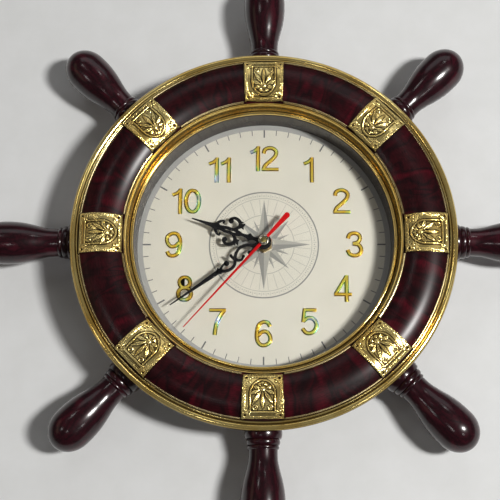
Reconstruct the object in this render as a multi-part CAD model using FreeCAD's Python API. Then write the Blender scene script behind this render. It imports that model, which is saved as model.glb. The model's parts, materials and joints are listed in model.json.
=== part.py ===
import FreeCAD, Part
import math
import os

# A wall clock in the form of a ship's wheel, with a battery movement behind its dial.
# Each piece is drawn lying on its back: X to the right and Y up across the dial, and Z from the
# wall out to the reader. The origin is the point of the wall behind the hands' axis. On leaving,
# every piece is stood up, so that the dial faces -Y with its 12 upward.

V = FreeCAD.Vector
ORIGIN = V(0, 0, 0)
ALONG_X = V(1, 0, 0)
ALONG_Z = V(0, 0, 1)

# Fits and cuts
running_gap = 0.05
easy_gap = 0.3
overrun = 1.0

# Stack behind the dial, from the wall outward
movement_standoff = 2.0
movement_depth = 16.0
gasket_thickness = 0.5
board_thickness = 2.0
sheet_thickness = 0.4
board_back_z = movement_standoff + movement_depth + gasket_thickness
sheet_back_z = board_back_z + board_thickness
face_z = sheet_back_z + sheet_thickness

# Rim: a moulded channel, open at the back, whose crowned front is the wood band
band_inner_radius = 110.4
band_width = 31.4
band_outer_radius = band_inner_radius + band_width
crown_rise = 4.7
rim_wall = 3.0
side_overhang = 4.2
side_top_radius = band_outer_radius + side_overhang
side_taper = 10.0
rim_back_radius = side_top_radius - side_taper
side_top_z = 46.0
shoulder_rise = 2.5
shoulder_z = side_top_z + shoulder_rise
band_rise = 5.7
band_edge_z = shoulder_z + band_rise
seat_width = 6.1
inner_wall_radius = band_inner_radius - seat_width
bezel_seat_z = 44.0
trim_seat_drop = 1.7
inner_trim_width = 1.8
outer_trim_width = 1.4

# Gilt mouldings and the thin strips beside the wood
lip_inset = 8.6
lip_radius = band_inner_radius - lip_inset
lip_bead_width = 1.9
lip_bead_rise = 1.9
cove_top_z = 53.0
cove_sag_share = 0.18
outer_bead_overhang = 4.5
outer_bead_radius = side_top_radius + outer_bead_overhang
outer_bead_rise = 1.5
outer_bead_z = shoulder_z + outer_bead_rise
outer_bead_width = 5.2
bead_crown = 2.4
groove_drop = 0.9
skirt_wall = 1.5
skirt_drop = 4.0
skirt_bottom_z = shoulder_z - skirt_drop
trim_rise = 0.8
trim_gap = 0.3

# Glass, dial well and dial
glass_thickness = 2.0
well_wall = 2.6
well_foot_inset = 0.8
well_foot_radius = lip_radius - well_foot_inset
numeral_height = 22.0
numeral_width = 12.6
numeral_stroke = 2.7
numeral_spacing = 2.2
numeral_inset = 28.8
numeral_circle_radius = well_foot_radius - numeral_inset
numeral_thickness = 0.6

# Back: cover, spacer ring and hanger
cover_thickness = 2.5
screw_head_share = 0.7
window_gap = 1.0
spacer_wall = 3.0
cover_screw_inset = 16.0
cover_screw_circle = rim_back_radius - cover_screw_inset
pillar_radius = 4.5
cover_screw_radius = 1.5
cover_screw_head_radius = 3.2
cover_screw_length = 14.0
hanger_width = 34.0
hanger_height = 22.0
hanger_below_share = 0.42
hanger_corner_share = 0.8
hanger_thickness = 1.2
hanger_hole_radius = 4.2
hanger_slot_width = 4.4
hanger_slot_length = 9.0
hanger_inset = 17.5
hanger_centre_y = rim_back_radius - hanger_inset
cover_slot_margin = 2.0
rivet_radius = 1.6
rivet_head_radius = 3.0
rivet_head_height = 0.9
rivet_inset = 5.0

# Turned handles
handle_count = 8
handle_axis_z = 27.5
handle_sink = 1.0
handle_seat_radius = side_top_radius - handle_sink
handle_length = 81.0
handle_tip_radius = handle_seat_radius + handle_length
handle_bulb_radius = 17.0
collar_radius = 14.6
collar_length = 9.2
bead_radius = 13.0
bead_length = 4.8
small_bead_radius = 12.2
small_bead_length = 3.2
neck_radius = 11.0
bead_groove = 0.9
spigot_radius = 5.0
spigot_length = 4.0
pad_depth = 10.0
pad_back_radius = handle_seat_radius - pad_depth
handle_screw_radius = 2.0
handle_screw_length = 42.0
handle_screw_head_radius = 4.2
handle_screw_head_height = 2.8
washer_radius = 6.0
washer_thickness = 1.0
bulb_length_shares = [0.0, 0.12, 0.23, 0.34, 0.46, 0.58, 0.69, 0.80, 0.90, 0.97, 1.0]
bulb_swell_shares = [0.0, 0.05, 0.29, 0.60, 0.86, 0.985, 1.0, 0.79, 0.24, -0.75, -1.833]

# Stamped plaques, one at each handle
plaque_inner_lap = 1.5
plaque_outer_lap = 0.4
plaque_inner_y = band_inner_radius - plaque_inner_lap
plaque_outer_y = band_outer_radius + plaque_outer_lap
plaque_inner_width = 30.0
plaque_outer_width = 32.2
plaque_thickness = 0.9
border_width = 4.2
border_relief = 0.7
notch_size = 4.6
shield_half_width = 9.6
shield_length = 25.0
shield_rim = 1.5
shield_relief = 1.2
boss_radius = 2.7
rib_width = 1.8
rib_length = 11.0
rib_spread = 26.0
rib_relief = 0.9

# Movement: case, cover and the hands' threaded bush
case_width = 56.0
case_wall = 1.2
case_drop = 0.5
bay_wall = 0.8
bay_wall_top_y = -11.8
bush_radius = 4.0
bush_bore_radius = 2.6
bush_rise = 5.5
nut_across_flats = 12.4
nut_height = 2.2
dial_washer_radius = 7.6
dial_washer_thickness = 0.5
gasket_radius = 12.0
post_radius = 1.3
mid_plate_z = 7.7
mid_plate_thickness = 0.8
mid_plate_half_width = 24.0
mid_plate_bottom_y = -10.8
mid_plate_top_y = 13.4
post_inset = 1.5
pivot_boss_radius = 1.4

# Battery and its contacts
battery_radius = 7.05
battery_end_room = 7.0
battery_length = case_width - battery_end_room
battery_nub_radius = 2.7
battery_nub_length = 1.0
battery_centre_y = -20.0
battery_centre_z = 9.5
contact_thickness = 0.3
contact_width = 10.0
contact_bump_radius = 2.4

# Stepping motor and circuit
rotor_x = 6.0
rotor_y = 17.5
magnet_radius = 2.5
magnet_z = 9.6
magnet_length = 2.2
stator_z = 10.2
stator_thickness = 1.0
stator_bottom_y = 14.2
stator_top_y = 20.8
stator_left_x = -16.0
stator_right_x = 16.0
stator_leg_width = 2.4
stator_bore_radius = 3.0
coil_axis_y = 23.6
coil_half_length = 12.0
coil_radius = 2.4
bobbin_radius = 1.7
bobbin_flange_radius = 2.6
bobbin_flange = 0.8
core_height = 2.0
circuit_left_x = 16.0
circuit_right_x = 26.0
circuit_bottom_y = 9.0
circuit_top_y = 25.5
circuit_z = 4.2
circuit_thickness = 1.0
crystal_radius = 1.0
crystal_length = 6.0
chip_radius = 2.6
chip_height = 1.0
component_inset = 2.6

# Wheels: tooth counts, tooth modules and where each layer lies
rotor_teeth = 10
step_wheel_teeth = 60
step_pinion_teeth = 12
seconds_teeth = 60
seconds_pinion_teeth = 8
third_teeth = 60
third_pinion_teeth = 8
centre_teeth = 64
cannon_teeth = 12
setting_teeth = 36
setting_pinion_teeth = 10
hour_teeth = 40
step_module = 0.30
third_module = 0.36
setting_module = 0.52
third_angle = -75.0
setting_angle = 95.0
wheel_thickness = 0.8
pinion_margin = 0.3
arbor_radius = 0.5
setting_arbor_radius = 0.6
minute_tube_radius = 1.75
hour_pipe_radius = 2.55
step_layer_z = 4.0
seconds_layer_z = 6.2
third_layer_z = 9.1
centre_layer_z = 11.4
cannon_layer_z = 13.6
hour_layer_z = 15.3
pivot_depth = 0.6
knob_radius = 6.0
knob_length = 2.0
knob_sink = 0.3
knob_ribs = 18
knob_rib_depth = 0.4
addendum_share = 0.75
dedendum_share = 1.15
tooth_tip_share = 0.22
tooth_root_share = 0.50

# Hands, with the time that they show at rest, as degrees clockwise from 12
hour_degrees = 288.8
minute_degrees = 234.8
second_degrees = 221.8
hand_thickness = 0.5
hour_hand_rise = 8.0
minute_hand_rise = 10.6
second_hand_rise = 13.2
hour_hand_length = 60.5
minute_hand_length = 89.4
second_hand_length = 93.0
second_tail_length = 30.0
second_tail_radius = 2.5
second_root_width = 2.4
second_waist_width = 1.3
second_tip_width = 0.6
hour_collet_radius = 5.0
minute_collet_radius = 4.6
minute_collet_height = 1.6
second_hub_radius = 3.4
cap_radius = 4.0
cap_height = 2.2
cap_dimple_radius = 1.8
cap_dimple_depth = 0.7
scroll_width = 1.6
ball_radius = 1.9
small_ball_radius = 1.25

# Values that follow from the sizes above
glass_back_z = bezel_seat_z - glass_thickness
band_middle_radius = (band_inner_radius + band_outer_radius) / 2
band_half_width = (band_outer_radius - band_inner_radius) / 2
crown_radius = (band_half_width ** 2 + crown_rise ** 2) / (2 * crown_rise)
crown_z = band_edge_z + crown_rise
crown_centre_z = crown_z - crown_radius
trim_seat_z = band_edge_z - trim_seat_drop
trim_top_z = band_edge_z + trim_rise
cove_radius = band_inner_radius - inner_trim_width
bead_root_radius = band_outer_radius + outer_trim_width
well_outer_radius = well_foot_radius + well_wall
case_back_z = movement_standoff
case_front_z = case_back_z + movement_depth
case_half = case_width / 2
case_inner_half = case_half - case_wall
case_inner_front_z = case_front_z - case_wall
cover_front_z = case_back_z + case_wall
mid_plate_front_z = mid_plate_z + mid_plate_thickness
step_distance = step_module * (step_pinion_teeth + seconds_teeth) / 2
rotor_distance = step_module * (rotor_teeth + step_wheel_teeth) / 2
third_distance = third_module * (third_teeth + seconds_pinion_teeth) / 2
centre_module = 2 * third_distance / (centre_teeth + third_pinion_teeth)
setting_distance = setting_module * (cannon_teeth + setting_teeth) / 2
hour_module = 2 * setting_distance / (setting_pinion_teeth + hour_teeth)
knob_back_z = case_back_z + knob_sink
knob_recess_z = knob_back_z + knob_length + easy_gap
handle_step = 360.0 / handle_count


# Drawing helpers

def path(start, steps, place):
    """Closed wire from start: a step of one point is a line, one of two points is an arc."""
    edges = []
    here = place(*start)
    closing = [] if steps[-1][-1] == start else [[start]]
    for step in [*steps, *closing]:
        points = [place(*point) for point in step]
        if len(points) == 1:
            edges.append(Part.LineSegment(here, points[0]).toShape())
        else:
            edges.append(Part.Arc(here, points[0], points[1]).toShape())
        here = points[-1]
    return Part.Wire(edges)


def lathe(start, *steps):
    """Solid turned about Z from an outline of (radius, z) points."""
    face = Part.Face(path(start, steps, lambda radius, z: V(radius, 0, z)))
    return face.revolve(ORIGIN, ALONG_Z, 360)


def plate(start, *steps, back, front):
    """Solid of an outline of (x, y) points between two depths."""
    face = Part.Face(path(start, steps, lambda x, y: V(x, y, back)))
    return face.extrude(V(0, 0, front - back))


def rod(radius, back, front, x=0, y=0):
    """Round bar along Z."""
    return Part.makeCylinder(radius, front - back, V(x, y, back))


def pipe(outer, inner, back, front, x=0, y=0):
    """Round bar along Z with a bore."""
    return rod(outer, back, front, x, y).cut(rod(inner, back - overrun, front + overrun, x, y))


def block(left, right, bottom, top, back, front):
    """Box between six planes."""
    return Part.makeBox(right - left, top - bottom, front - back, V(left, bottom, back))


def merged(first, *others):
    """One solid of pieces that overlap or share a face."""
    return first.fuse(list(others)).removeSplitter()


def turned(shape, degrees):
    """Copy turned clockwise about the hands' axis."""
    copy = shape.copy()
    copy.rotate(ORIGIN, ALONG_Z, -degrees)
    return copy


def around(shape, count, first=0.0):
    """Copies of a piece spread evenly clockwise round the dial."""
    return [turned(shape, first + number * 360.0 / count) for number in range(count)]


def radial(shape):
    """Piece turned about Z, laid along the 12 o'clock handle's axis."""
    copy = shape.copy()
    copy.rotate(ORIGIN, ALONG_X, -90)
    copy.translate(V(0, 0, handle_axis_z))
    return copy


def dial_point(radius, degrees):
    """Point of the dial at a radius and an angle clockwise from 12."""
    angle = math.radians(degrees)
    return radius * math.sin(angle), radius * math.cos(angle)


# Strokes of numerals and hands: bars and arcs of an even width

def stroke(points, width):
    """Flat face along two points, or along the arc through three, of an even width."""
    half = width / 2
    first, last = V(*points[0]), V(*points[-1])
    if len(points) == 2:
        side = (last - first).normalize().cross(ALONG_Z) * half
        corners = [first + side, last + side, last - side, first - side, first + side]
        return Part.Face(Part.makePolygon(corners))
    middle = V(*points[1])
    centre = Part.Arc(first, middle, last).toShape().Curve.Center
    outer = [centre + (point - centre) * (1 + half / point.distanceToPoint(centre))
             for point in (first, middle, last)]
    inner = [centre + (point - centre) * (1 - half / point.distanceToPoint(centre))
             for point in (last, middle, first)]
    edges = [Part.Arc(*outer).toShape(), Part.LineSegment(outer[2], inner[0]).toShape(),
             Part.Arc(*inner).toShape(), Part.LineSegment(inner[2], outer[0]).toShape()]
    return Part.Face(Part.Wire(edges))


def dot(point, radius):
    """Flat round face."""
    return Part.Face(Part.Wire(Part.makeCircle(radius, V(*point))))


def stamped(faces, back, thickness):
    """One thin plate of overlapping flat faces."""
    solids = [face.extrude(V(0, 0, thickness)) for face in faces]
    joined = merged(*solids)
    joined.translate(V(0, 0, back))
    return joined


# Rim, handles and plaques

def crown_point(radius, rise):
    """Point at a radius on the crown's circle, raised square to it."""
    reach = crown_radius + rise
    return radius, crown_centre_z + math.sqrt(reach ** 2 - (radius - band_middle_radius) ** 2)


def rim_section():
    """Turned channel of the rim, before its pads and pillars."""
    back_slope = (side_top_radius - rim_back_radius) / side_top_z
    side_inner = side_top_radius - rim_wall
    bead_inner = bead_root_radius - rim_wall - outer_trim_width
    crown_under = crown_z - rim_wall
    return lathe(
        (rim_back_radius, 0),
        [(side_top_radius, side_top_z)],
        [(side_top_radius, shoulder_z)],
        [(bead_root_radius, shoulder_z)],
        [(bead_root_radius, trim_seat_z)],
        [(band_outer_radius, trim_seat_z)],
        [(band_outer_radius, band_edge_z)],
        [(band_middle_radius, crown_z), (band_inner_radius, band_edge_z)],
        [(band_inner_radius, trim_seat_z)],
        [(cove_radius, trim_seat_z)],
        [(cove_radius, bezel_seat_z)],
        [(inner_wall_radius, bezel_seat_z)],
        [(inner_wall_radius, cover_thickness)],
        [(inner_wall_radius + rim_wall, cover_thickness)],
        [(inner_wall_radius + rim_wall, bezel_seat_z - rim_wall)],
        [(cove_radius + rim_wall, bezel_seat_z - rim_wall)],
        [(cove_radius + rim_wall, trim_seat_z - rim_wall / 2)],
        [(band_middle_radius, crown_under), (bead_inner, trim_seat_z - rim_wall / 2)],
        [(bead_inner, shoulder_z - rim_wall)],
        [(side_inner - back_slope * rim_wall, shoulder_z - rim_wall)],
        [(rim_back_radius - rim_wall, 0)],
    )


def make_rim():
    """Rim with the handles' pads, the cover's pillars and their holes."""
    pad = radial(rod(collar_radius, pad_back_radius, handle_seat_radius))
    pillar = rod(pillar_radius, cover_thickness, crown_z - rim_wall, 0, cover_screw_circle)
    pillars = around(pillar, handle_count, handle_step / 2)
    rim = merged(rim_section(), *around(pad, handle_count), *pillars)
    screw_hole = rod(handle_screw_radius + running_gap, pad_back_radius - overrun,
                     handle_seat_radius + overrun)
    spigot_hole = rod(spigot_radius + running_gap,
                      handle_seat_radius - spigot_length - running_gap,
                      handle_seat_radius + overrun)
    pad_cut = radial(screw_hole.fuse(spigot_hole))
    pilot = rod(cover_screw_radius, cover_thickness - overrun,
                cover_screw_length + overrun, 0, cover_screw_circle)
    cuts = around(pad_cut, handle_count) + around(pilot, handle_count, handle_step / 2)
    return rim.cut(cuts).removeSplitter()


def bead_step(base, end, radius, along):
    """Outline steps of one turned bead between two grooves."""
    return [[(radius, base + bead_groove / 2)],
            [(radius + bead_groove / 2, (base + end) / 2), (radius, end - bead_groove / 2)],
            [(along, end)]]


def make_handle():
    """Turned handle with its collar, beads, neck and bulb, along the 12 o'clock axis."""
    seat = handle_seat_radius
    collar_end = seat + collar_length
    bead_end = collar_end + bead_length
    neck_start = bead_end + small_bead_length
    span = handle_tip_radius - neck_start
    swell = handle_bulb_radius - neck_radius
    points = [V(neck_radius + swell * across, 0, neck_start + span * along)
              for along, across in zip(bulb_length_shares, bulb_swell_shares)]
    points[-1] = V(0, 0, handle_tip_radius)
    curve = Part.BSplineCurve()
    curve.interpolate(Points=points, InitialTangent=V(0, 0, 1), FinalTangent=V(-1, 0, 0))
    groove_radius = small_bead_radius - bead_groove
    outline = [(0, seat - spigot_length), (spigot_radius, seat - spigot_length),
               (spigot_radius, seat), (collar_radius - bead_groove, seat)]
    edges = [Part.LineSegment(V(a[0], 0, a[1]), V(b[0], 0, b[1])).toShape()
             for a, b in zip(outline, outline[1:])]
    here = V(outline[-1][0], 0, outline[-1][1])
    steps = (bead_step(seat, collar_end, collar_radius - bead_groove / 2, bead_radius - bead_groove)
             + bead_step(collar_end, bead_end, bead_radius - bead_groove / 2, groove_radius)
             + bead_step(bead_end, neck_start, small_bead_radius - bead_groove / 2, neck_radius))
    for step in steps:
        ends = [V(radius, 0, along) for radius, along in step]
        arc = Part.Arc(here, *ends) if len(ends) == 2 else Part.LineSegment(here, ends[0])
        edges.append(arc.toShape())
        here = ends[-1]
    edges += [curve.toShape(), Part.LineSegment(points[-1], V(0, 0, outline[0][1])).toShape()]
    body = Part.Face(Part.Wire(edges)).revolve(ORIGIN, ALONG_Z, 360)
    pilot_end = pad_back_radius - washer_thickness + handle_screw_length + running_gap
    pilot = rod(handle_screw_radius + running_gap, seat - spigot_length - overrun, pilot_end)
    return radial(body.cut(pilot))


def make_handle_screw():
    """Screw from inside the channel into one handle."""
    head_front = pad_back_radius - washer_thickness
    head = rod(handle_screw_head_radius, head_front - handle_screw_head_height, head_front)
    return radial(merged(head, rod(handle_screw_radius, head_front, head_front + handle_screw_length)))


def crown_shell(low, high):
    """Turned skin that lies over the crown between two heights."""
    inner, outer = cove_radius - rim_wall, bead_root_radius + rim_wall
    return lathe(
        crown_point(inner, low),
        [(band_middle_radius, crown_z + low), crown_point(outer, low)],
        [crown_point(outer, high)],
        [(band_middle_radius, crown_z + high), crown_point(inner, high)],
    )


def plaque_outline(inset):
    """Corners of the plaque's tapered outline, drawn in by an inset."""
    near, far = plaque_inner_width / 2 - inset, plaque_outer_width / 2 - inset
    bottom, top = plaque_inner_y + inset, plaque_outer_y - inset
    return [(-near, bottom), (near, bottom), (far, top), (-far, top)]


def column(corners, *arcs):
    """Tall solid of an outline, used to cut a form out of the crown's skin."""
    return plate(corners[0], *[[corner] for corner in corners[1:]], *arcs,
                 back=trim_seat_z - plaque_thickness - rim_wall, front=crown_z + rim_wall)


def shield_column(inset):
    """Tall solid of the shield: straight at the rim, round towards the hands."""
    half = shield_half_width - inset
    middle_y = (plaque_inner_y + plaque_outer_y) / 2
    top = middle_y + shield_length / 2 - inset
    bottom = middle_y - shield_length / 2 + inset
    return column([(half, bottom + half), (half, top), (-half, top), (-half, bottom + half)],
                  [(0, bottom), (half, bottom + half)])


def make_plaque():
    """Stamped plaque at 12 o'clock: notched border, shield, boss and three ribs."""
    base = crown_shell(0, plaque_thickness).common(column(plaque_outline(0)))
    field = column(plaque_outline(border_width))
    corners = [block(x - notch_size / 2, x + notch_size / 2, y - notch_size / 2, y + notch_size / 2,
                     0, crown_z + rim_wall) for x, y in plaque_outline(border_width)]
    border = column(plaque_outline(0)).cut(field.cut(corners))
    border = crown_shell(plaque_thickness / 2, plaque_thickness + border_relief).common(border)
    shield = shield_column(0).cut(shield_column(shield_rim))
    shield = crown_shell(plaque_thickness / 2, plaque_thickness + shield_relief).common(shield)
    boss_y = (plaque_inner_y + plaque_outer_y) / 2 - shield_length / 4
    boss_z = crown_point(boss_y, plaque_thickness)[1]
    boss = Part.makeSphere(boss_radius, V(0, boss_y, boss_z - boss_radius / 3))
    boss = boss.common(crown_shell(plaque_thickness / 2, plaque_thickness + boss_radius))
    ribs = []
    for side in (-1, 0, 1):
        rib = block(-rib_width / 2, rib_width / 2, 0, rib_length, 0, crown_z + rim_wall)
        rib.rotate(ORIGIN, ALONG_Z, -side * rib_spread)
        rib.translate(V(0, boss_y + boss_radius / 2, 0))
        ribs.append(crown_shell(plaque_thickness / 2, plaque_thickness + rib_relief).common(rib))
    return merged(base, border, shield, boss, *ribs)


# Mouldings, strips, glass and dial

def make_outer_moulding():
    """Gilt ring of two beads with a groove, hooked over the rim's shoulder."""
    skirt_inner = side_top_radius + easy_gap
    bead_start = outer_bead_radius - outer_bead_width
    bead_top = outer_bead_z + bead_crown
    inner_middle = (bead_root_radius + easy_gap + bead_start) / 2
    return lathe(
        (bead_root_radius + easy_gap, shoulder_z),
        [(skirt_inner, shoulder_z)],
        [(skirt_inner, skirt_bottom_z)],
        [(skirt_inner + skirt_wall, skirt_bottom_z)],
        [(outer_bead_radius - bead_crown / 2, outer_bead_z - bead_crown)],
        [(outer_bead_radius, outer_bead_z), (outer_bead_radius - outer_bead_width / 2, bead_top)],
        [(bead_start + groove_drop, bead_top - groove_drop), (bead_start, bead_top)],
        [(inner_middle, band_edge_z + groove_drop),
         (bead_root_radius + easy_gap, band_edge_z - groove_drop)],
    )


def make_inner_moulding():
    """Gilt bezel: a bead at the lip and a polished cove that climbs to the wood."""
    bead_end = lip_radius + lip_bead_width
    bead_base = bezel_seat_z + lip_bead_rise / 2
    cove_outer = cove_radius - easy_gap
    sag = (cove_outer - bead_end) * cove_sag_share
    middle = ((bead_end + cove_outer) / 2 + sag, (bead_base + cove_top_z) / 2 - sag)
    return lathe(
        (lip_radius, bezel_seat_z),
        [(lip_radius, bead_base)],
        [(lip_radius + lip_bead_width / 2, bezel_seat_z + lip_bead_rise), (bead_end, bead_base)],
        [middle, (cove_outer, cove_top_z)],
        [(cove_outer, bezel_seat_z)],
    )


def trim_strip(inner, outer):
    """Thin rounded strip from one plaque to the next, centred at 12 o'clock."""
    middle = (inner + outer) / 2
    shoulder = (band_edge_z + trim_top_z) / 2
    ring = lathe((inner, trim_seat_z), [(inner, shoulder)],
                 [(middle, trim_top_z), (outer, shoulder)], [(outer, trim_seat_z)])
    clear = plaque_outer_width / 2 + trim_gap
    hidden = block(-clear, clear, 0, outer + overrun, 0, trim_top_z + overrun)
    half_gap = handle_step / 2
    wedge = plate((0, 0), [dial_point(2 * outer, half_gap)], [dial_point(2 * outer, -half_gap)],
                  back=0, front=trim_top_z + overrun)
    beside = [turned(hidden, half_gap), turned(hidden, -half_gap)]
    return turned(ring.common(wedge).cut(beside), half_gap)


def make_trim_strips():
    """Inner and outer strips beside the wood, between the plaques."""
    inner = trim_strip(cove_radius + running_gap, band_inner_radius - running_gap)
    outer = trim_strip(band_outer_radius + running_gap, bead_root_radius - running_gap)
    return around(inner, handle_count) + around(outer, handle_count)


def make_dial_well():
    """Dark ring between the dial and the glass, a little wider at the glass."""
    top_radius = lip_radius - easy_gap
    return lathe(
        (well_foot_radius, face_z),
        [(well_outer_radius, face_z)],
        [(well_outer_radius, glass_back_z)],
        [(top_radius, glass_back_z)],
    )


# Numerals, drawn as strokes in shares of a digit's width and height

digit_shares = {
    "0": [[(0, .31), (0, .69)], [(0, .69), (.5, 1), (1, .69)], [(1, .69), (1, .31)],
          [(1, .31), (.5, 0), (0, .31)]],
    "1": [[(.62, 0), (.62, 1)], [(.62, 1), (.18, .80)]],
    "2": [[(0, .74), (.5, 1), (1, .72)], [(1, .72), (.93, .55), (.72, .38)],
          [(.72, .38), (0, 0)], [(0, 0), (1, 0)]],
    "3": [[(.05, .84), (.95, .76), (.38, .54)], [(.38, .54), (1, .27), (.5, 0)],
          [(.5, 0), (.18, .05), (0, .20)]],
    "4": [[(.72, 0), (.72, 1)], [(.72, 1), (0, .28)], [(0, .28), (1, .28)]],
    "5": [[(.92, 1), (.22, 1)], [(.22, 1), (.10, .56)], [(.10, .56), (.55, .64), (1, .33)],
          [(1, .33), (.55, 0), (0, .12)]],
    "6": [[(.78, 1), (.16, .66), (0, .32)], [(0, .32), (.5, .62), (1, .32)],
          [(1, .32), (.5, 0), (0, .32)]],
    "7": [[(0, 1), (1, 1)], [(1, 1), (.52, .50), (.34, 0)]],
    "8": [[(.10, .76), (.5, 1), (.90, .76)], [(.90, .76), (.5, .53), (.10, .76)],
          [(0, .27), (.5, .53), (1, .27)], [(1, .27), (.5, 0), (0, .27)]],
    "9": [[(.22, 0), (.84, .34), (1, .68)], [(1, .68), (.5, .38), (0, .68)],
          [(0, .68), (.5, 1), (1, .68)]],
}


def make_numeral(text, degrees):
    """Applied numeral, upright, at its place on the dial."""
    pen_width = numeral_width - numeral_stroke
    pen_height = numeral_height - numeral_stroke
    pitch = numeral_width + numeral_spacing
    solids = []
    centre_x, centre_y = dial_point(numeral_circle_radius, degrees)
    for index, digit in enumerate(text):
        left = centre_x + (index - (len(text) - 1) / 2) * pitch - pen_width / 2
        bottom = centre_y - pen_height / 2
        faces = []
        for shares in digit_shares[digit]:
            points = [(left + x * pen_width, bottom + y * pen_height) for x, y in shares]
            faces += [stroke(points, numeral_stroke), dot(points[0], numeral_stroke / 2),
                      dot(points[-1], numeral_stroke / 2)]
        solids.append(stamped(faces, face_z, numeral_thickness))
    return solids


def make_numerals():
    """The numerals 1 to 12, each digit its own applied piece."""
    digits = []
    for hour in range(1, 13):
        digits += make_numeral(str(hour), hour * 30)
    return digits


# Back cover, spacer and hanger

def countersink(radius_out, radius_in, height, x, y):
    """Screw head's cone, widest at the wall."""
    return Part.makeCone(radius_out, radius_in, height, V(x, y, 0))


def keyhole(radius, width, length, back, front):
    """Round entry with a slot above it, for a nail's head and shank."""
    slot = block(-width / 2, width / 2, hanger_centre_y, hanger_centre_y + length, back, front)
    top = rod(width / 2, back, front, 0, hanger_centre_y + length)
    return merged(rod(radius, back, front, 0, hanger_centre_y), slot, top)


def rivet_places():
    """Centres of the hanger's two rivets."""
    reach = hanger_width / 2 - rivet_inset
    return [(-reach, hanger_centre_y), (reach, hanger_centre_y)]


def make_back_cover():
    """Round hardboard cover with a window for the movement and a slot for the nail."""
    disc = rod(rim_back_radius - rim_wall - easy_gap, 0, cover_thickness)
    half = case_half + window_gap
    window = block(-half, half, -half - case_drop, half - case_drop, -overrun, cover_thickness + overrun)
    margin = cover_slot_margin
    slot = keyhole(hanger_hole_radius + margin, hanger_slot_width + 2 * margin, hanger_slot_length,
                   -overrun, cover_thickness + overrun)
    shank = cover_screw_radius + running_gap
    head = countersink(cover_screw_head_radius + running_gap, shank, cover_thickness * screw_head_share,
                       0, cover_screw_circle)
    hole = head.fuse(rod(shank, -overrun, cover_thickness + overrun, 0, cover_screw_circle))
    rivets = [rod(rivet_radius + running_gap, -overrun, cover_thickness + overrun, x, y)
              for x, y in rivet_places()]
    return disc.cut([window, slot, *around(hole, handle_count, handle_step / 2), *rivets])


def make_cover_screw():
    """Countersunk screw from the wall side into a pillar."""
    head = countersink(cover_screw_head_radius, cover_screw_radius, cover_thickness * screw_head_share,
                       0, cover_screw_circle)
    return merged(head, rod(cover_screw_radius, 0, cover_screw_length, 0, cover_screw_circle))


def make_hanger():
    """Steel keyhole plate riveted to the inside of the cover."""
    half = hanger_width / 2
    bottom = hanger_centre_y - hanger_height * hanger_below_share
    body = block(-half, half, bottom, bottom + hanger_height,
                 cover_thickness, cover_thickness + hanger_thickness)
    corners = [edge for edge in body.Edges if abs(edge.tangentAt(edge.FirstParameter).z) > 0.9]
    body = body.makeFillet(rivet_inset * hanger_corner_share, corners)
    cuts = [rod(rivet_radius + running_gap, 0, cover_thickness + 2 * hanger_thickness, x, y)
            for x, y in rivet_places()]
    cuts.append(keyhole(hanger_hole_radius, hanger_slot_width, hanger_slot_length,
                        0, cover_thickness + 2 * hanger_thickness))
    return body.cut(cuts)


def make_rivets():
    """Two rivets with a flat tail in the cover and a round head inside."""
    rivets = []
    for x, y in rivet_places():
        front = cover_thickness + hanger_thickness
        shank = rod(rivet_radius, 0, front + rivet_head_height / 2, x, y)
        head = rod(rivet_head_radius, front, front + rivet_head_height, x, y)
        rivets.append(merged(shank, head))
    return rivets


# Wheels and arbors

def tooth_ring(teeth, module, back, front, x, y, degrees):
    """Toothed disc with a tooth centred at an angle anticlockwise from +X."""
    pitch_radius = teeth * module / 2
    tip = pitch_radius + addendum_share * module
    root = pitch_radius - dedendum_share * module
    pitch = 2 * math.pi / teeth
    corners = []
    for number in range(teeth):
        middle = math.radians(degrees) + number * pitch
        for reach, share in ((root, -tooth_root_share), (tip, -tooth_tip_share),
                             (tip, tooth_tip_share), (root, tooth_root_share)):
            angle = middle + share * pitch / 2
            corners.append(V(x + reach * math.cos(angle), y + reach * math.sin(angle), back))
    corners.append(corners[0])
    return Part.Face(Part.makePolygon(corners)).extrude(V(0, 0, front - back))


def meshing_angle(driver, driver_angle, driver_place, follower, follower_place):
    """Angle of a tooth on the follower, so that it meets the driver's teeth."""
    line = math.degrees(math.atan2(follower_place[1] - driver_place[1],
                                   follower_place[0] - driver_place[0]))
    offset = (line - driver_angle) * driver / 360.0
    return line + 180.0 - (0.5 - offset) * 360.0 / follower


def step_place():
    """Centre of the step wheel: on both its neighbours' circles, left of the rotor."""
    span = math.hypot(rotor_x, rotor_y)
    along = (step_distance ** 2 - rotor_distance ** 2 + span ** 2) / (2 * span)
    across = math.sqrt(step_distance ** 2 - along ** 2)
    ux, uy = rotor_x / span, rotor_y / span
    return along * ux - across * uy, along * uy + across * ux


MAIN = (0.0, 0.0)
ROTOR = (rotor_x, rotor_y)
STEP = step_place()
THIRD = dial_point(third_distance, third_angle)
SETTING = dial_point(setting_distance, setting_angle)

rotor_tooth = 0.0
step_wheel_tooth = meshing_angle(rotor_teeth, rotor_tooth, ROTOR, step_wheel_teeth, STEP)
seconds_tooth = meshing_angle(step_pinion_teeth, 0.0, STEP, seconds_teeth, MAIN)
third_tooth = meshing_angle(seconds_pinion_teeth, 0.0, MAIN, third_teeth, THIRD)
centre_tooth = meshing_angle(third_pinion_teeth, 0.0, THIRD, centre_teeth, MAIN)
setting_tooth = meshing_angle(cannon_teeth, 0.0, MAIN, setting_teeth, SETTING)
hour_tooth = meshing_angle(setting_pinion_teeth, 0.0, SETTING, hour_teeth, MAIN)


def wheel(teeth, module, layer_z, place, degrees):
    """Thin toothed wheel in its layer."""
    return tooth_ring(teeth, module, layer_z, layer_z + wheel_thickness, *place, degrees)


def pinion(teeth, module, layer_z, place):
    """Small toothed pinion, a little taller than the wheel that it meets."""
    return tooth_ring(teeth, module, layer_z - pinion_margin,
                      layer_z + wheel_thickness + pinion_margin, *place, 0.0)


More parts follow.
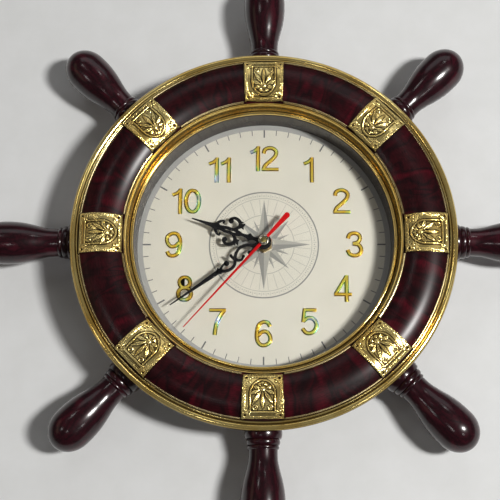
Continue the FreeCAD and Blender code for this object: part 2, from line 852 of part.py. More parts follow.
def make_rotor():
    """Magnet of the stepping motor with its pinion."""
    magnet_front_z = magnet_z + magnet_length
    arbor = rod(arbor_radius, cover_front_z - pivot_depth, magnet_front_z + 2 * pivot_depth, *ROTOR)
    magnet = rod(magnet_radius, magnet_z, magnet_front_z, *ROTOR)
    return merged(arbor, magnet, pinion(rotor_teeth, step_module, step_layer_z, ROTOR))


def make_step_wheel():
    """First reduction: wheel driven by the rotor, with its pinion."""
    arbor = rod(arbor_radius, cover_front_z - pivot_depth, mid_plate_z + pivot_depth, *STEP)
    return merged(arbor, wheel(step_wheel_teeth, step_module, step_layer_z, STEP, step_wheel_tooth),
                  pinion(step_pinion_teeth, step_module, seconds_layer_z, STEP))


def make_seconds_wheel():
    """Wheel that turns once a minute, with the long arbor of the second hand."""
    arbor = rod(arbor_radius, cover_front_z - pivot_depth, face_z + second_hand_rise + cap_height / 2)
    return merged(arbor, wheel(seconds_teeth, step_module, seconds_layer_z, MAIN, seconds_tooth),
                  pinion(seconds_pinion_teeth, third_module, third_layer_z, MAIN))


def make_third_wheel():
    """Reduction between the seconds wheel and the centre wheel."""
    arbor = rod(arbor_radius, mid_plate_z + pivot_depth / 2, cannon_layer_z, *THIRD)
    return merged(arbor, wheel(third_teeth, third_module, third_layer_z, THIRD, third_tooth),
                  pinion(third_pinion_teeth, centre_module, centre_layer_z, THIRD))


def make_centre_wheel():
    """Wheel that turns once an hour, with its cannon pinion and the minute hand's tube."""
    tube_back = centre_layer_z - pinion_margin
    tube_front = face_z + minute_hand_rise + minute_collet_height
    tube = rod(minute_tube_radius, tube_back, tube_front)
    body = merged(tube, wheel(centre_teeth, centre_module, centre_layer_z, MAIN, centre_tooth),
                  pinion(cannon_teeth, setting_module, cannon_layer_z, MAIN))
    return body.cut(rod(arbor_radius + running_gap, tube_back - overrun, tube_front + overrun))


def make_setting_wheel():
    """Motion wheel on the setting knob's arbor, with the pinion that drives the hour wheel."""
    arbor = rod(setting_arbor_radius, knob_back_z + knob_length / 2,
                case_inner_front_z + pivot_depth, *SETTING)
    small = tooth_ring(setting_pinion_teeth, hour_module, cannon_layer_z + wheel_thickness,
                       hour_layer_z + wheel_thickness + pinion_margin, *SETTING, 0.0)
    large = wheel(setting_teeth, setting_module, cannon_layer_z, SETTING, setting_tooth)
    return merged(arbor, large, small)


def make_setting_knob():
    """Ribbed knob at the back that sets the hands."""
    body = rod(knob_radius, knob_back_z, knob_back_z + knob_length, *SETTING)
    flutes = []
    for number in range(knob_ribs):
        x, y = dial_point(knob_radius + knob_rib_depth, number * 360.0 / knob_ribs)
        flute = rod(2 * knob_rib_depth, knob_back_z - overrun, knob_recess_z,
                    SETTING[0] + x, SETTING[1] + y)
        flutes.append(flute)
    bore = rod(setting_arbor_radius, knob_back_z + knob_length / 2, knob_recess_z, *SETTING)
    return body.cut([*flutes, bore])


def make_hour_wheel():
    """Wheel that turns once in twelve hours, with the hour hand's pipe."""
    pipe_front = face_z + hour_hand_rise + 2 * hand_thickness
    body = merged(rod(hour_pipe_radius, hour_layer_z, pipe_front),
                  wheel(hour_teeth, hour_module, hour_layer_z, MAIN, hour_tooth))
    return body.cut(rod(minute_tube_radius + running_gap, hour_layer_z - overrun, pipe_front + overrun))


# Movement's fixed pieces

def post_places():
    """Centres of the four posts that carry the mid plate."""
    reach = mid_plate_half_width - post_inset
    return [(x, y) for x in (-reach, reach)
            for y in (mid_plate_bottom_y + post_inset, mid_plate_top_y - post_inset)]


def stator_post_places():
    """Centres of the two posts that carry the stator."""
    middle_y = (stator_bottom_y + stator_top_y) / 2
    return [(stator_left_x + stator_leg_width, middle_y), (stator_right_x - stator_leg_width, middle_y)]


def make_case():
    """Front shell of the movement, with bosses, posts and the wall of the battery bay."""
    bottom, top = -case_half - case_drop, case_half - case_drop
    shell = block(-case_half, case_half, bottom, top, cover_front_z, case_front_z)
    hollow = block(-case_inner_half, case_inner_half, bottom + case_wall, top - case_wall,
                   cover_front_z - overrun, case_inner_front_z)
    bay = block(-case_half + case_wall / 2, case_half - case_wall / 2, bay_wall_top_y - bay_wall,
                bay_wall_top_y, cover_front_z, case_front_z - case_wall / 2)
    joint_z = case_front_z - case_wall / 2
    posts = [rod(post_radius, mid_plate_front_z, joint_z, *place) for place in post_places()]
    posts += [rod(post_radius, stator_z + stator_thickness, joint_z, *place)
              for place in stator_post_places()]
    bosses = [rod(pivot_boss_radius, cannon_layer_z - pivot_depth, joint_z, *THIRD),
              rod(pivot_boss_radius, magnet_z + magnet_length + easy_gap, joint_z, *ROTOR)]
    body = merged(shell.cut(hollow), bay, *posts, *bosses)
    pivot = arbor_radius + running_gap
    setting_pivot = setting_arbor_radius + running_gap
    holes = [rod(bush_radius, case_inner_front_z - overrun, case_front_z + overrun),
             rod(pivot, 0, cannon_layer_z + running_gap, *THIRD),
             rod(pivot, 0, magnet_z + magnet_length + 2 * pivot_depth + running_gap, *ROTOR),
             rod(setting_pivot, 0, case_inner_front_z + pivot_depth + running_gap, *SETTING)]
    return body.cut(holes).removeSplitter()


def make_movement_cover():
    """Rear plate of the movement, with the battery's mouth and the knob's recess."""
    bottom, top = -case_half - case_drop, case_half - case_drop
    body = block(-case_half, case_half, bottom, top, case_back_z, cover_front_z)
    recess_radius = knob_radius + easy_gap
    cup = rod(recess_radius + case_wall, case_back_z, knob_recess_z + case_wall, *SETTING)
    bosses = [rod(pivot_boss_radius, case_back_z, cover_front_z + pivot_depth / 2, *place)
              for place in (MAIN, STEP, ROTOR)]
    rests = [rod(post_radius, case_back_z, circuit_z, x, y) for x, y in circuit_rests()]
    body = merged(body, cup, *bosses, *rests)
    mouth = block(-case_inner_half + case_wall, case_inner_half - case_wall,
                  battery_centre_y - battery_radius, battery_centre_y + battery_radius,
                  case_back_z - overrun, cover_front_z + overrun)
    pivots = [rod(arbor_radius + running_gap, cover_front_z - pivot_depth - running_gap,
                  mid_plate_z, *place) for place in (MAIN, STEP, ROTOR)]
    recess = rod(recess_radius, case_back_z - overrun, knob_recess_z, *SETTING)
    bearing = rod(setting_arbor_radius + running_gap, case_back_z, mid_plate_z, *SETTING)
    return body.cut([mouth, recess, bearing, *pivots]).removeSplitter()


def circuit_rests():
    """Centres of the two rests under the circuit board."""
    middle_x = (circuit_left_x + circuit_right_x) / 2
    return [(middle_x, circuit_bottom_y + component_inset), (middle_x, circuit_top_y - component_inset)]


def make_mid_plate():
    """Plate that carries the inner pivots, on four posts."""
    body = block(-mid_plate_half_width, mid_plate_half_width, mid_plate_bottom_y, mid_plate_top_y,
                 mid_plate_z, mid_plate_front_z)
    pivots = [rod(arbor_radius + running_gap, 0, case_front_z, *place) for place in (MAIN, STEP, THIRD)]
    passage = rod(2 * setting_arbor_radius, 0, case_front_z, *SETTING)
    return body.cut([*pivots, passage])


def make_stator():
    """Soft iron frame round the rotor, with the bar that passes through the coil."""
    front = stator_z + stator_thickness
    core_bottom, core_top = coil_axis_y - core_height / 2, coil_axis_y + core_height / 2
    foot = block(stator_left_x, stator_right_x, stator_bottom_y, stator_top_y, stator_z, front)
    left_end, right_end = stator_left_x + stator_leg_width, stator_right_x - stator_leg_width
    left = block(stator_left_x, left_end, stator_bottom_y, core_top, stator_z, front)
    right = block(right_end, stator_right_x, stator_bottom_y, core_top, stator_z, front)
    core = block(stator_left_x, stator_right_x, core_bottom, core_top, stator_z, front)
    bore = rod(stator_bore_radius, stator_z - overrun, front + overrun, *ROTOR)
    return merged(foot, left, right, core).cut(bore)


def coil_rod(radius, left, right):
    """Round bar along the coil's axis."""
    centre = V(left, coil_axis_y, stator_z + stator_thickness / 2)
    return Part.makeCylinder(radius, right - left, centre, ALONG_X)


def make_coil_bobbin():
    """Bobbin with two flanges and a slot for the core."""
    half = coil_half_length
    body = merged(coil_rod(bobbin_radius, -half - bobbin_flange, half + bobbin_flange),
                  coil_rod(bobbin_flange_radius, -half - bobbin_flange, -half),
                  coil_rod(bobbin_flange_radius, half, half + bobbin_flange))
    slot = block(-case_half, case_half, coil_axis_y - core_height / 2 - running_gap,
                 coil_axis_y + core_height / 2 + running_gap,
                 stator_z - running_gap, stator_z + stator_thickness + running_gap)
    return body.cut(slot)


def make_coil_winding():
    """Fine copper winding, as one sleeve between the flanges."""
    half = coil_half_length
    return coil_rod(coil_radius, -half, half).cut(coil_rod(bobbin_radius, -case_half, case_half))


def make_circuit_board():
    """Small board beside the wheels."""
    return block(circuit_left_x, circuit_right_x, circuit_bottom_y, circuit_top_y,
                 circuit_z, circuit_z + circuit_thickness)


def make_quartz_crystal():
    """Crystal's round can, lying on the board."""
    x = circuit_left_x + component_inset
    base = V(x, circuit_top_y - component_inset - crystal_length,
             circuit_z + circuit_thickness + crystal_radius)
    return Part.makeCylinder(crystal_radius, crystal_length, base, V(0, 1, 0))


def make_clock_chip():
    """Domed drop of resin over the clock chip."""
    x = circuit_right_x - component_inset - chip_radius / 2
    y = circuit_bottom_y + component_inset + chip_radius
    board_front = circuit_z + circuit_thickness
    ball_reach = (chip_radius ** 2 + chip_height ** 2) / (2 * chip_height)
    ball = Part.makeSphere(ball_reach, V(x, y, board_front + chip_height - ball_reach))
    return ball.common(rod(chip_radius, board_front, board_front + chip_height, x, y))


def battery_rod(radius, left, right):
    """Round bar along the battery's axis."""
    return Part.makeCylinder(radius, right - left, V(left, battery_centre_y, battery_centre_z), ALONG_X)


def make_battery():
    """Single cell lying across the bottom of the movement."""
    half = battery_length / 2
    body = merged(battery_rod(battery_radius, -half, half),
                  battery_rod(battery_nub_radius, half, half + battery_nub_length))
    rims = [edge for edge in body.Edges if edge.Curve.TypeId == "Part::GeomCircle"
            and abs(edge.Curve.Radius - battery_radius) < running_gap]
    return body.makeFillet(contact_thickness, rims)


def make_contact(side, reach):
    """Spring strip at one end of the battery, with a bump that presses on it."""
    wall = side * case_inner_half
    inner = side * (case_inner_half - contact_thickness)
    strip = block(min(wall, inner), max(wall, inner), battery_centre_y - contact_width / 2,
                  battery_centre_y + contact_width / 2, cover_front_z, case_inner_front_z)
    left, right = sorted((inner, side * reach))
    return merged(strip, battery_rod(contact_bump_radius, left, right))


def make_bush():
    """Threaded brass bush that carries the pipes and takes the dial nut."""
    front = face_z + bush_rise
    return pipe(bush_radius, bush_bore_radius, case_inner_front_z, front)


def make_nut():
    """Hexagon nut that clamps the movement to the dial."""
    back = face_z + dial_washer_thickness
    corner = nut_across_flats / math.sqrt(3)
    corners = [V(*dial_point(corner, number * 60), back) for number in range(7)]
    body = Part.Face(Part.makePolygon(corners)).extrude(V(0, 0, nut_height))
    chamfer = Part.makeCone(corner + nut_height, nut_across_flats / 2, nut_height * 2, V(0, 0, back))
    return body.common(chamfer).cut(rod(bush_radius, back - overrun, back + nut_height + overrun))


# Hands: drawn pointing to 12, then turned to the time that they show

def mirrored(strokes):
    """Strokes with their images on the other side of the hand."""
    return strokes + [[(-x, y) for x, y in points] for points in strokes]


hour_scroll_shares = [
    [(.005, .630), (.030, .525), (.029, .426)],
    [(.029, .426), (.080, .368), (.152, .382)],
    [(.152, .382), (.183, .460), (.134, .505)],
    [(.010, .680), (.072, .650), (.098, .585)],
    [(.029, .426), (.020, .370), (.000, .329)],
]
hour_ball_shares = [(.134, .494)]
hour_small_ball_shares = [(.084, .583)]
hour_bar_shares = [[(-.012, .075), (.012, .075), (.012, .340), (-.012, .340)],
                   [(-.014, .160), (.014, .160), (.031, .203), (-.031, .203)],
                   [(-.031, .203), (.031, .203), (.014, .240), (-.014, .240)],
                   [(-.020, .615), (.020, .615), (.030, .665), (-.030, .665)],
                   [(-.030, .665), (.030, .665), (.006, 1.0), (-.006, 1.0)]]
hour_spur_shares = [(.094, .378), (.149, .312), (.112, .335), (.076, .308), (.070, .385)]
minute_scroll_shares = [
    [(.000, .468), (-.038, .410), (-.036, .350)],
    [(-.036, .350), (-.016, .318), (.016, .302)],
    [(.000, .468), (.024, .438), (.024, .395)],
    [(.016, .302), (-.020, .272), (-.010, .226)],
    [(.016, .302), (.070, .250), (.066, .170)],
    [(.066, .170), (.048, .125), (.012, .098)],
    [(.012, .098), (-.016, .125), (-.012, .163)],
]
minute_ball_shares = [(.021, .385)]
minute_small_ball_shares = [(.054, .312), (-.010, .226), (-.012, .163)]
minute_bar_shares = [[(-.006, .440), (.006, .440), (.020, .473), (-.020, .473)],
                     [(-.020, .473), (.020, .473), (.009, .505), (-.009, .505)],
                     [(-.013, .495), (.013, .495), (.004, 1.0), (-.004, 1.0)],
                     [(-.016, .030), (.016, .030), (.020, .100), (.004, .100)]]
minute_twig_shares = [[(.016, .302), (.054, .312)]]


def scaled(points, length):
    """Shares of a hand's length as sizes."""
    return [(x * length, y * length) for x, y in points]


def hand_faces(length, strokes, balls, small_balls, bars):
    """Flat faces of a pierced hand."""
    faces = [stroke(scaled(points, length), scroll_width) for points in strokes]
    faces += [dot(point, ball_radius) for point in scaled(balls, length)]
    faces += [dot(point, small_ball_radius) for point in scaled(small_balls, length)]
    for points in bars:
        corners = [V(*point) for point in scaled(points, length)]
        faces.append(Part.Face(Part.makePolygon([*corners, corners[0]])))
    return faces


def make_hour_hand():
    """Pierced hour hand with mirrored scrolls, on its pipe."""
    both = [(side * x, y) for x, y in hour_ball_shares for side in (-1, 1)]
    small = [(side * x, y) for x, y in hour_small_ball_shares for side in (-1, 1)]
    spurs = [hour_spur_shares, [(-x, y) for x, y in reversed(hour_spur_shares)]]
    faces = hand_faces(hour_hand_length, mirrored(hour_scroll_shares), both, small,
                       [*hour_bar_shares, *spurs])
    back = face_z + hour_hand_rise
    body = stamped([dot((0, 0), hour_collet_radius), *faces], back, hand_thickness)
    hole = rod(hour_pipe_radius, back - overrun, back + overrun + hand_thickness)
    return turned(body.cut(hole), hour_degrees)


def make_minute_hand():
    """Pierced minute hand with a chain of scrolls, on its tube."""
    strokes = minute_scroll_shares + minute_twig_shares
    faces = hand_faces(minute_hand_length, strokes, minute_ball_shares,
                       minute_small_ball_shares, minute_bar_shares)
    back = face_z + minute_hand_rise
    body = stamped([dot((0, 0), minute_collet_radius), *faces], back, hand_thickness)
    collet = rod(minute_collet_radius, back, back + minute_collet_height)
    hole = rod(minute_tube_radius, back - overrun, back + minute_collet_height + overrun)
    return turned(merged(body, collet).cut(hole), minute_degrees)


def make_second_hand():
    """Slender second hand with a rounded tail."""
    tail = second_tail_length - second_tail_radius
    root, waist = second_root_width / 2, second_waist_width / 2
    tip = second_tip_width / 2
    back = face_z + second_hand_rise
    blade = Part.Face(Part.makePolygon([V(-root, 0), V(-tip, second_hand_length),
                                        V(tip, second_hand_length), V(root, 0), V(-root, 0)]))
    paddle = Part.Face(Part.makePolygon([V(-waist, 0), V(waist, 0), V(second_tail_radius, -tail),
                                         V(-second_tail_radius, -tail), V(-waist, 0)]))
    faces = [dot((0, 0), second_hub_radius), blade, paddle, dot((0, -tail), second_tail_radius)]
    body = stamped(faces, back, hand_thickness)
    return turned(body.cut(rod(arbor_radius, back - overrun, back + overrun)), second_degrees)


def make_hub_cap():
    """Gilt button over the second hand's arbor."""
    back = face_z + second_hand_rise + hand_thickness
    front = back + cap_height
    body = rod(cap_radius, back, front)
    rim = [edge for edge in body.Edges if abs(edge.BoundBox.ZMin - front) < running_gap]
    body = body.makeFillet(cap_height / 3, [edge for edge in rim if edge.Closed])
    dimple = rod(cap_dimple_radius, front - cap_dimple_depth, front + overrun)
    arbor = rod(arbor_radius, back - overrun, face_z + second_hand_rise + cap_height / 2)
    return body.cut([dimple, arbor])


# The pieces and their files

def make_pieces():
    """Every piece by name; a list is a group of alike pieces that share one file."""
    handle, plaque = make_handle(), make_plaque()
    pieces = {
        "rim": make_rim(),
        "outer_moulding": make_outer_moulding(),
        "inner_moulding": make_inner_moulding(),
        "trim_strips": make_trim_strips(),
        "dial_well": make_dial_well(),
        "glass": rod(inner_wall_radius - easy_gap, glass_back_z, bezel_seat_z),
        "dial_sheet": pipe(well_outer_radius, bush_radius + easy_gap, sheet_back_z, face_z),
        "dial_board": pipe(well_outer_radius, bush_radius + easy_gap, board_back_z, sheet_back_z),
        "numerals": make_numerals(),
        "spacer_ring": pipe(well_outer_radius, well_outer_radius - spacer_wall,
                            cover_thickness, board_back_z),
        "back_cover": make_back_cover(),
        "cover_screws": around(make_cover_screw(), handle_count, handle_step / 2),
        "hanger_plate": make_hanger(),
        "hanger_rivets": make_rivets(),
        "handle_screws": around(make_handle_screw(), handle_count),
        "handle_washers": around(radial(pipe(washer_radius, handle_screw_radius + running_gap,
                                             pad_back_radius - washer_thickness, pad_back_radius)),
                                 handle_count),
        "movement_case": make_case(),
        "movement_cover": make_movement_cover(),
        "mid_plate": make_mid_plate(),
        "threaded_bush": make_bush(),
        "rubber_gasket": pipe(gasket_radius, bush_radius + easy_gap, case_front_z, board_back_z),
        "dial_washer": pipe(dial_washer_radius, bush_radius + running_gap, face_z,
                            face_z + dial_washer_thickness),
        "dial_nut": make_nut(),
        "battery": make_battery(),
        "positive_contact": make_contact(1, battery_length / 2 + battery_nub_length),
        "negative_contact": make_contact(-1, battery_length / 2),
        "stator": make_stator(),
        "coil_bobbin": make_coil_bobbin(),
        "coil_winding": make_coil_winding(),
        "circuit_board": make_circuit_board(),
        "quartz_crystal": make_quartz_crystal(),
        "clock_chip": make_clock_chip(),
        "rotor": make_rotor(),
        "step_wheel": make_step_wheel(),
        "seconds_wheel": make_seconds_wheel(),
        "third_wheel": make_third_wheel(),
        "centre_wheel": make_centre_wheel(),
        "setting_wheel": make_setting_wheel(),
        "setting_knob": make_setting_knob(),
        "hour_wheel": make_hour_wheel(),
        "hour_hand": make_hour_hand(),
        "minute_hand": make_minute_hand(),
        "second_hand": make_second_hand(),
        "hub_cap": make_hub_cap(),
    }
    for number in range(handle_count):
        pieces[f"handle_{number + 1}"] = turned(handle, number * handle_step)
        pieces[f"plaque_{number + 1}"] = turned(plaque, number * handle_step)
    return pieces


def stand_up(shape):
    """Piece turned so that the dial faces -Y and its 12 points up."""
    copy = shape.copy()
    copy.rotate(ORIGIN, ALONG_X, 90)
    return copy


os.makedirs("parts", exist_ok=True)
for name, piece in make_pieces().items():
    shape = Part.makeCompound(piece) if isinstance(piece, list) else piece
    stand_up(shape).exportStep(f"parts/{name}.step")
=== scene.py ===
"""Ship's-wheel wall clock: its visible pieces, their finishes, the light and the camera.

Pieces are drawn lying on their back, in millimetres times MM: X to the right and Y up across the
dial, and Z from the wall out to the reader. Each is then stood up, so that the dial faces -Y.
"""

import json
import logging
import math
from collections.abc import Callable
from dataclasses import dataclass, field
from enum import Enum

import bpy
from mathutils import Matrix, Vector, noise

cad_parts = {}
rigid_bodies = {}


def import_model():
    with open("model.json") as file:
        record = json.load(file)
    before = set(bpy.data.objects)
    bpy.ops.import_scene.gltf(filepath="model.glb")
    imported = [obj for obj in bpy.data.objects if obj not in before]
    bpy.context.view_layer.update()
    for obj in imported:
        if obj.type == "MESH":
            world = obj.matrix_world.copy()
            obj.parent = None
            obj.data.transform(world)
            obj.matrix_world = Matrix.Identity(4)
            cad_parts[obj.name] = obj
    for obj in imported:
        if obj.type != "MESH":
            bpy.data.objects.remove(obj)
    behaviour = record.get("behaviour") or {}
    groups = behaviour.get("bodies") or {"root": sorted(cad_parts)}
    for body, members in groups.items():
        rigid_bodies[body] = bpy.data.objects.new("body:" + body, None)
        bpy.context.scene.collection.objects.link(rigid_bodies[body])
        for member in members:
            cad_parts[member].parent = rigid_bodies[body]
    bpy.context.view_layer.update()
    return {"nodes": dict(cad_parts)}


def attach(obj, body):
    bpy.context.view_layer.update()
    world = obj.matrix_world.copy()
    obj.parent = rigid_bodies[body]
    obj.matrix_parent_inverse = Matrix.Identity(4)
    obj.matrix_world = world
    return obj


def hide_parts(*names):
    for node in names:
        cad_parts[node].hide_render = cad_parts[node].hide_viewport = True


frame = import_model()

MM = 0.001
LOG = logging.getLogger("wheel_clock")
Point = tuple[float, float]
Colour = tuple[float, float, float]


class Body(Enum):
    """Bodies of the frame that new pieces ride on."""

    CASE = "case"
    HOUR = "hour"
    MINUTE = "minute"
    SECONDS = "seconds"


class Axis(Enum):
    """Axis that a turned piece is spun about, while it lies on its back."""

    DIAL = (0.0, 0.0, 1.0)
    HANDLE = (0.0, 1.0, 0.0)


# Modelling bench


class Bench:
    """Operators of the modelling bench, each a few steps made by hand."""

    @staticmethod
    def clear() -> None:
        """Leave edit mode and deselect everything."""
        if bpy.context.object and bpy.context.object.mode != "OBJECT":
            bpy.ops.object.mode_set(mode="OBJECT")
        bpy.ops.object.select_all(action="DESELECT")

    @staticmethod
    def pick(*pieces: bpy.types.Object) -> None:
        """Select these pieces alone; the first is the active one."""
        Bench.clear()
        for piece in pieces:
            piece.select_set(True)
        bpy.context.view_layer.objects.active = pieces[0]

    @staticmethod
    def trace(points: list[Vector]) -> bpy.types.Object:
        """Draw a line of edges through points, extruding it from one vertex.

        Args:
            points: Places along the line, in metres.

        Returns:
            The new object, in edit mode with all of it selected.
        """
        Bench.clear()
        bpy.ops.mesh.primitive_plane_add(size=MM)
        bpy.ops.object.mode_set(mode="EDIT")
        bpy.ops.mesh.merge(type="CENTER")
        bpy.ops.transform.translate(value=points[0])
        for here, there in zip(points, points[1:]):
            bpy.ops.mesh.extrude_region_move(TRANSFORM_OT_translate={"value": there - here})
        bpy.ops.mesh.select_all(action="SELECT")
        return bpy.context.object

    @staticmethod
    def close_up() -> None:
        """Merge doubles, turn the faces outward and leave edit mode."""
        bpy.ops.mesh.select_all(action="SELECT")
        bpy.ops.mesh.remove_doubles(threshold=0.001 * MM)
        bpy.ops.mesh.normals_make_consistent(inside=False)
        bpy.ops.object.mode_set(mode="OBJECT")

    @staticmethod
    def smooth(piece: bpy.types.Object, degrees: float = 35.0) -> bpy.types.Object:
        """Shade a piece smooth, with edges sharper than an angle kept."""
        Bench.pick(piece)
        bpy.ops.object.shade_smooth_by_angle(angle=math.radians(degrees))
        return piece

    @staticmethod
    def lathe(name: str, outline: list[Point], steps: int, axis: Axis = Axis.DIAL) -> bpy.types.Object:
        """Turn a closed outline once round an axis.

        Args:
            name: Name of the new piece.
            outline: (distance from the axis, place along the axis) in millimetres.
            steps: Number of steps in the whole turn.
            axis: Axis of the turn.

        Returns:
            The turned piece.
        """
        if axis is Axis.DIAL:
            points = [Vector((radius, 0, along)) * MM for radius, along in outline]
        else:
            points = [Vector((radius, along, 0)) * MM for radius, along in outline]
        piece = Bench.trace(points)
        bpy.ops.mesh.spin(steps=steps, angle=2 * math.pi, center=(0, 0, 0), axis=axis.value)
        Bench.close_up()
        piece.name = piece.data.name = name
        return Bench.smooth(piece)

    @staticmethod
    def plate(name: str, outline: list[Point], back: float, front: float) -> bpy.types.Object:
        """Fill an outline across the dial and pull it out to a plate.

        Args:
            name: Name of the new piece.
            outline: (x, y) corners in millimetres, without the first again.
            back: Depth of the rear face, in millimetres.
            front: Depth of the front face, in millimetres.

        Returns:
            The plate.
        """
        piece = Bench.trace([Vector((x, y, back)) * MM for x, y in outline])
        bpy.ops.mesh.edge_face_add()
        bpy.ops.mesh.extrude_region_move(TRANSFORM_OT_translate={"value": (0, 0, (front - back) * MM)})
        Bench.close_up()
        piece.name = piece.data.name = name
        return piece

    @staticmethod
    def modify(piece: bpy.types.Object, kind: str, **settings: object) -> bpy.types.Object:
        """Add one modifier with its settings and apply it."""
        Bench.pick(piece)
        modifier = piece.modifiers.new(kind.title(), kind)
        for key, value in settings.items():
            setattr(modifier, key, value)
        bpy.ops.object.modifier_apply(modifier=modifier.name)
        return piece

    @staticmethod
    def copy(piece: bpy.types.Object, name: str, degrees: float) -> bpy.types.Object:
        """Copy a piece with its mesh and turn it clockwise round the dial."""
        Bench.pick(piece)
        bpy.ops.object.duplicate(linked=False)
        twin = bpy.context.object
        twin.name = twin.data.name = name
        twin.rotation_euler = (0, 0, -math.radians(degrees))
        bpy.ops.object.transform_apply(location=True, rotation=True, scale=True)
        return twin

    @staticmethod
    def around(piece: bpy.types.Object, names: list[str], first: float = 0.0) -> list[bpy.types.Object]:
        """Copy a piece evenly round the dial and remove the pattern itself."""
        twins = [Bench.copy(piece, name, first + index * 360 / len(names)) for index, name in enumerate(names)]
        Bench.pick(piece)
        bpy.ops.object.delete()
        return twins

    @staticmethod
    def join(name: str, pieces: list[bpy.types.Object]) -> bpy.types.Object:
        """Join pieces of one kind into one object."""
        Bench.pick(*pieces)
        if len(pieces) > 1:
            bpy.ops.object.join()
        piece = bpy.context.object
        piece.name = piece.data.name = name
        return piece

    @staticmethod
    def stand_up(piece: bpy.types.Object) -> bpy.types.Object:
        """Turn a lying piece so that the dial faces -Y, and apply its place."""
        Bench.pick(piece)
        piece.rotation_euler = (math.radians(90), 0, 0)
        bpy.ops.object.transform_apply(location=True, rotation=True, scale=True)
        return piece

    @staticmethod
    def mark(piece: bpy.types.Object, name: str, place: Callable[[Vector], Vector]) -> None:
        """Store a vector on each vertex, for a pattern that follows the piece."""
        values = [part for vertex in piece.data.vertices for part in place(vertex.co / MM)]
        layer = piece.data.attributes.new(name, "FLOAT_VECTOR", "POINT")
        layer.data.foreach_set("vector", values)


def on_dial(radius: float, degrees: float) -> Point:
    """Point at a radius and an angle clockwise from 12."""
    return radius * math.sin(math.radians(degrees)), radius * math.cos(math.radians(degrees))


def arc(centre: Point, radius: float, start: float, end: float, steps: int) -> list[Point]:
    """Points along an arc, with angles in degrees anticlockwise from the first axis."""
    angles = [math.radians(start + (end - start) * step / steps) for step in range(steps + 1)]
    return [(centre[0] + radius * math.cos(a), centre[1] + radius * math.sin(a)) for a in angles]


def bulge(start: Point, end: Point, rise: float, steps: int) -> list[Point]:
    """Points of a shallow arc from start to end, raised to the left of the way there."""
    across, along = end[0] - start[0], end[1] - start[1]
    points = []
    for step in range(steps + 1):
        share = step / steps
        lift = rise * 4 * share * (1 - share)
        length = math.hypot(across, along)
        points.append((start[0] + across * share - along / length * lift,
                       start[1] + along * share + across / length * lift))
    return points


def flow(points: list[Point], steps: int) -> list[Point]:
    """Smooth line through points, as a Catmull-Rom spline."""
    line = []
    for index in range(len(points) - 1):
        before = points[max(index - 1, 0)]
        here, there = points[index], points[index + 1]
        after = points[min(index + 2, len(points) - 1)]
        for step in range(steps):
            t = step / steps
            line.append(tuple(
                0.5 * (2 * b + (c - a) * t + (2 * a - 5 * b + 4 * c - d) * t * t + (3 * b - a - 3 * c + d) * t ** 3)
                for a, b, c, d in zip(before, here, there, after)))
    return [*line, points[-1]]


# Finishes


class Sheet:
    """One node tree, with short ways to place and link its nodes."""

    def __init__(self, tree: bpy.types.NodeTree) -> None:
        """Start on a tree."""
        self.tree = tree

    def put(self, kind: str, settings: dict | None = None, **inputs: object) -> bpy.types.Node:
        """Place a node.

        Args:
            kind: Node type without its prefix.
            settings: Properties of the node.
            inputs: Values or output sockets, by input name with _ for a space.

        Returns:
            The node.
        """
        prefix = "" if kind.startswith(("Shader", "Node")) else "ShaderNode"
        node = self.tree.nodes.new(prefix + kind)
        for key, value in (settings or {}).items():
            setattr(node, key, value)
        for key, value in inputs.items():
            socket = node.inputs[int(key[1:])] if key[0] == "_" else node.inputs[key.replace("_", " ")]
            if isinstance(value, bpy.types.NodeSocket):
                self.tree.links.new(value, socket)
            else:
                socket.default_value = value
        return node

    def maths(self, operation: str, *values: object) -> bpy.types.NodeSocket:
        """Place a Math node and return its value."""
        inputs = {f"_{index}": value for index, value in enumerate(values)}
        return self.put("Math", {"operation": operation}, **inputs).outputs[0]

    def ramp(self, value: bpy.types.NodeSocket, stops: list[tuple[float, Colour]]) -> bpy.types.NodeSocket:
        """Place a colour ramp and return its colour."""
        node = self.put("ValToRGB", Fac=value)
        elements = node.color_ramp.elements
        while len(elements) < len(stops):
            elements.new(0.5)
        for element, (place, colour) in zip(elements, stops):
            element.position = place
            element.color = (*colour, 1)
        return node.outputs["Color"]

    def spread(self, value: bpy.types.NodeSocket, low: float, high: float,
               start: float = 0.0, end: float = 1.0) -> bpy.types.NodeSocket:
        """Map a value from one range to another."""
        return self.put("MapRange", Value=value, From_Min=start, From_Max=end,
                        To_Min=low, To_Max=high).outputs["Result"]

    def blend(self, share: object, first: object, second: object,
              mode: str = "MIX") -> bpy.types.NodeSocket:
        """Mix two colours."""
        node = self.put("Mix", {"data_type": "RGBA", "blend_type": mode}, _0=share, _6=first, _7=second)
        return node.outputs[2]

    def marks(self, name: str) -> bpy.types.NodeSocket:
        """Vector stored on the piece."""
        return self.put("Attribute", {"attribute_name": name}).outputs["Vector"]

    def place(self, scale: tuple[float, float, float] = (1, 1, 1),
              source: bpy.types.NodeSocket | None = None) -> bpy.types.NodeSocket:
        """Object coordinates, or another vector, through a Mapping node."""
        vector = source or self.put("TexCoord").outputs["Object"]
        return self.put("Mapping", Vector=vector, Scale=scale).outputs["Vector"]


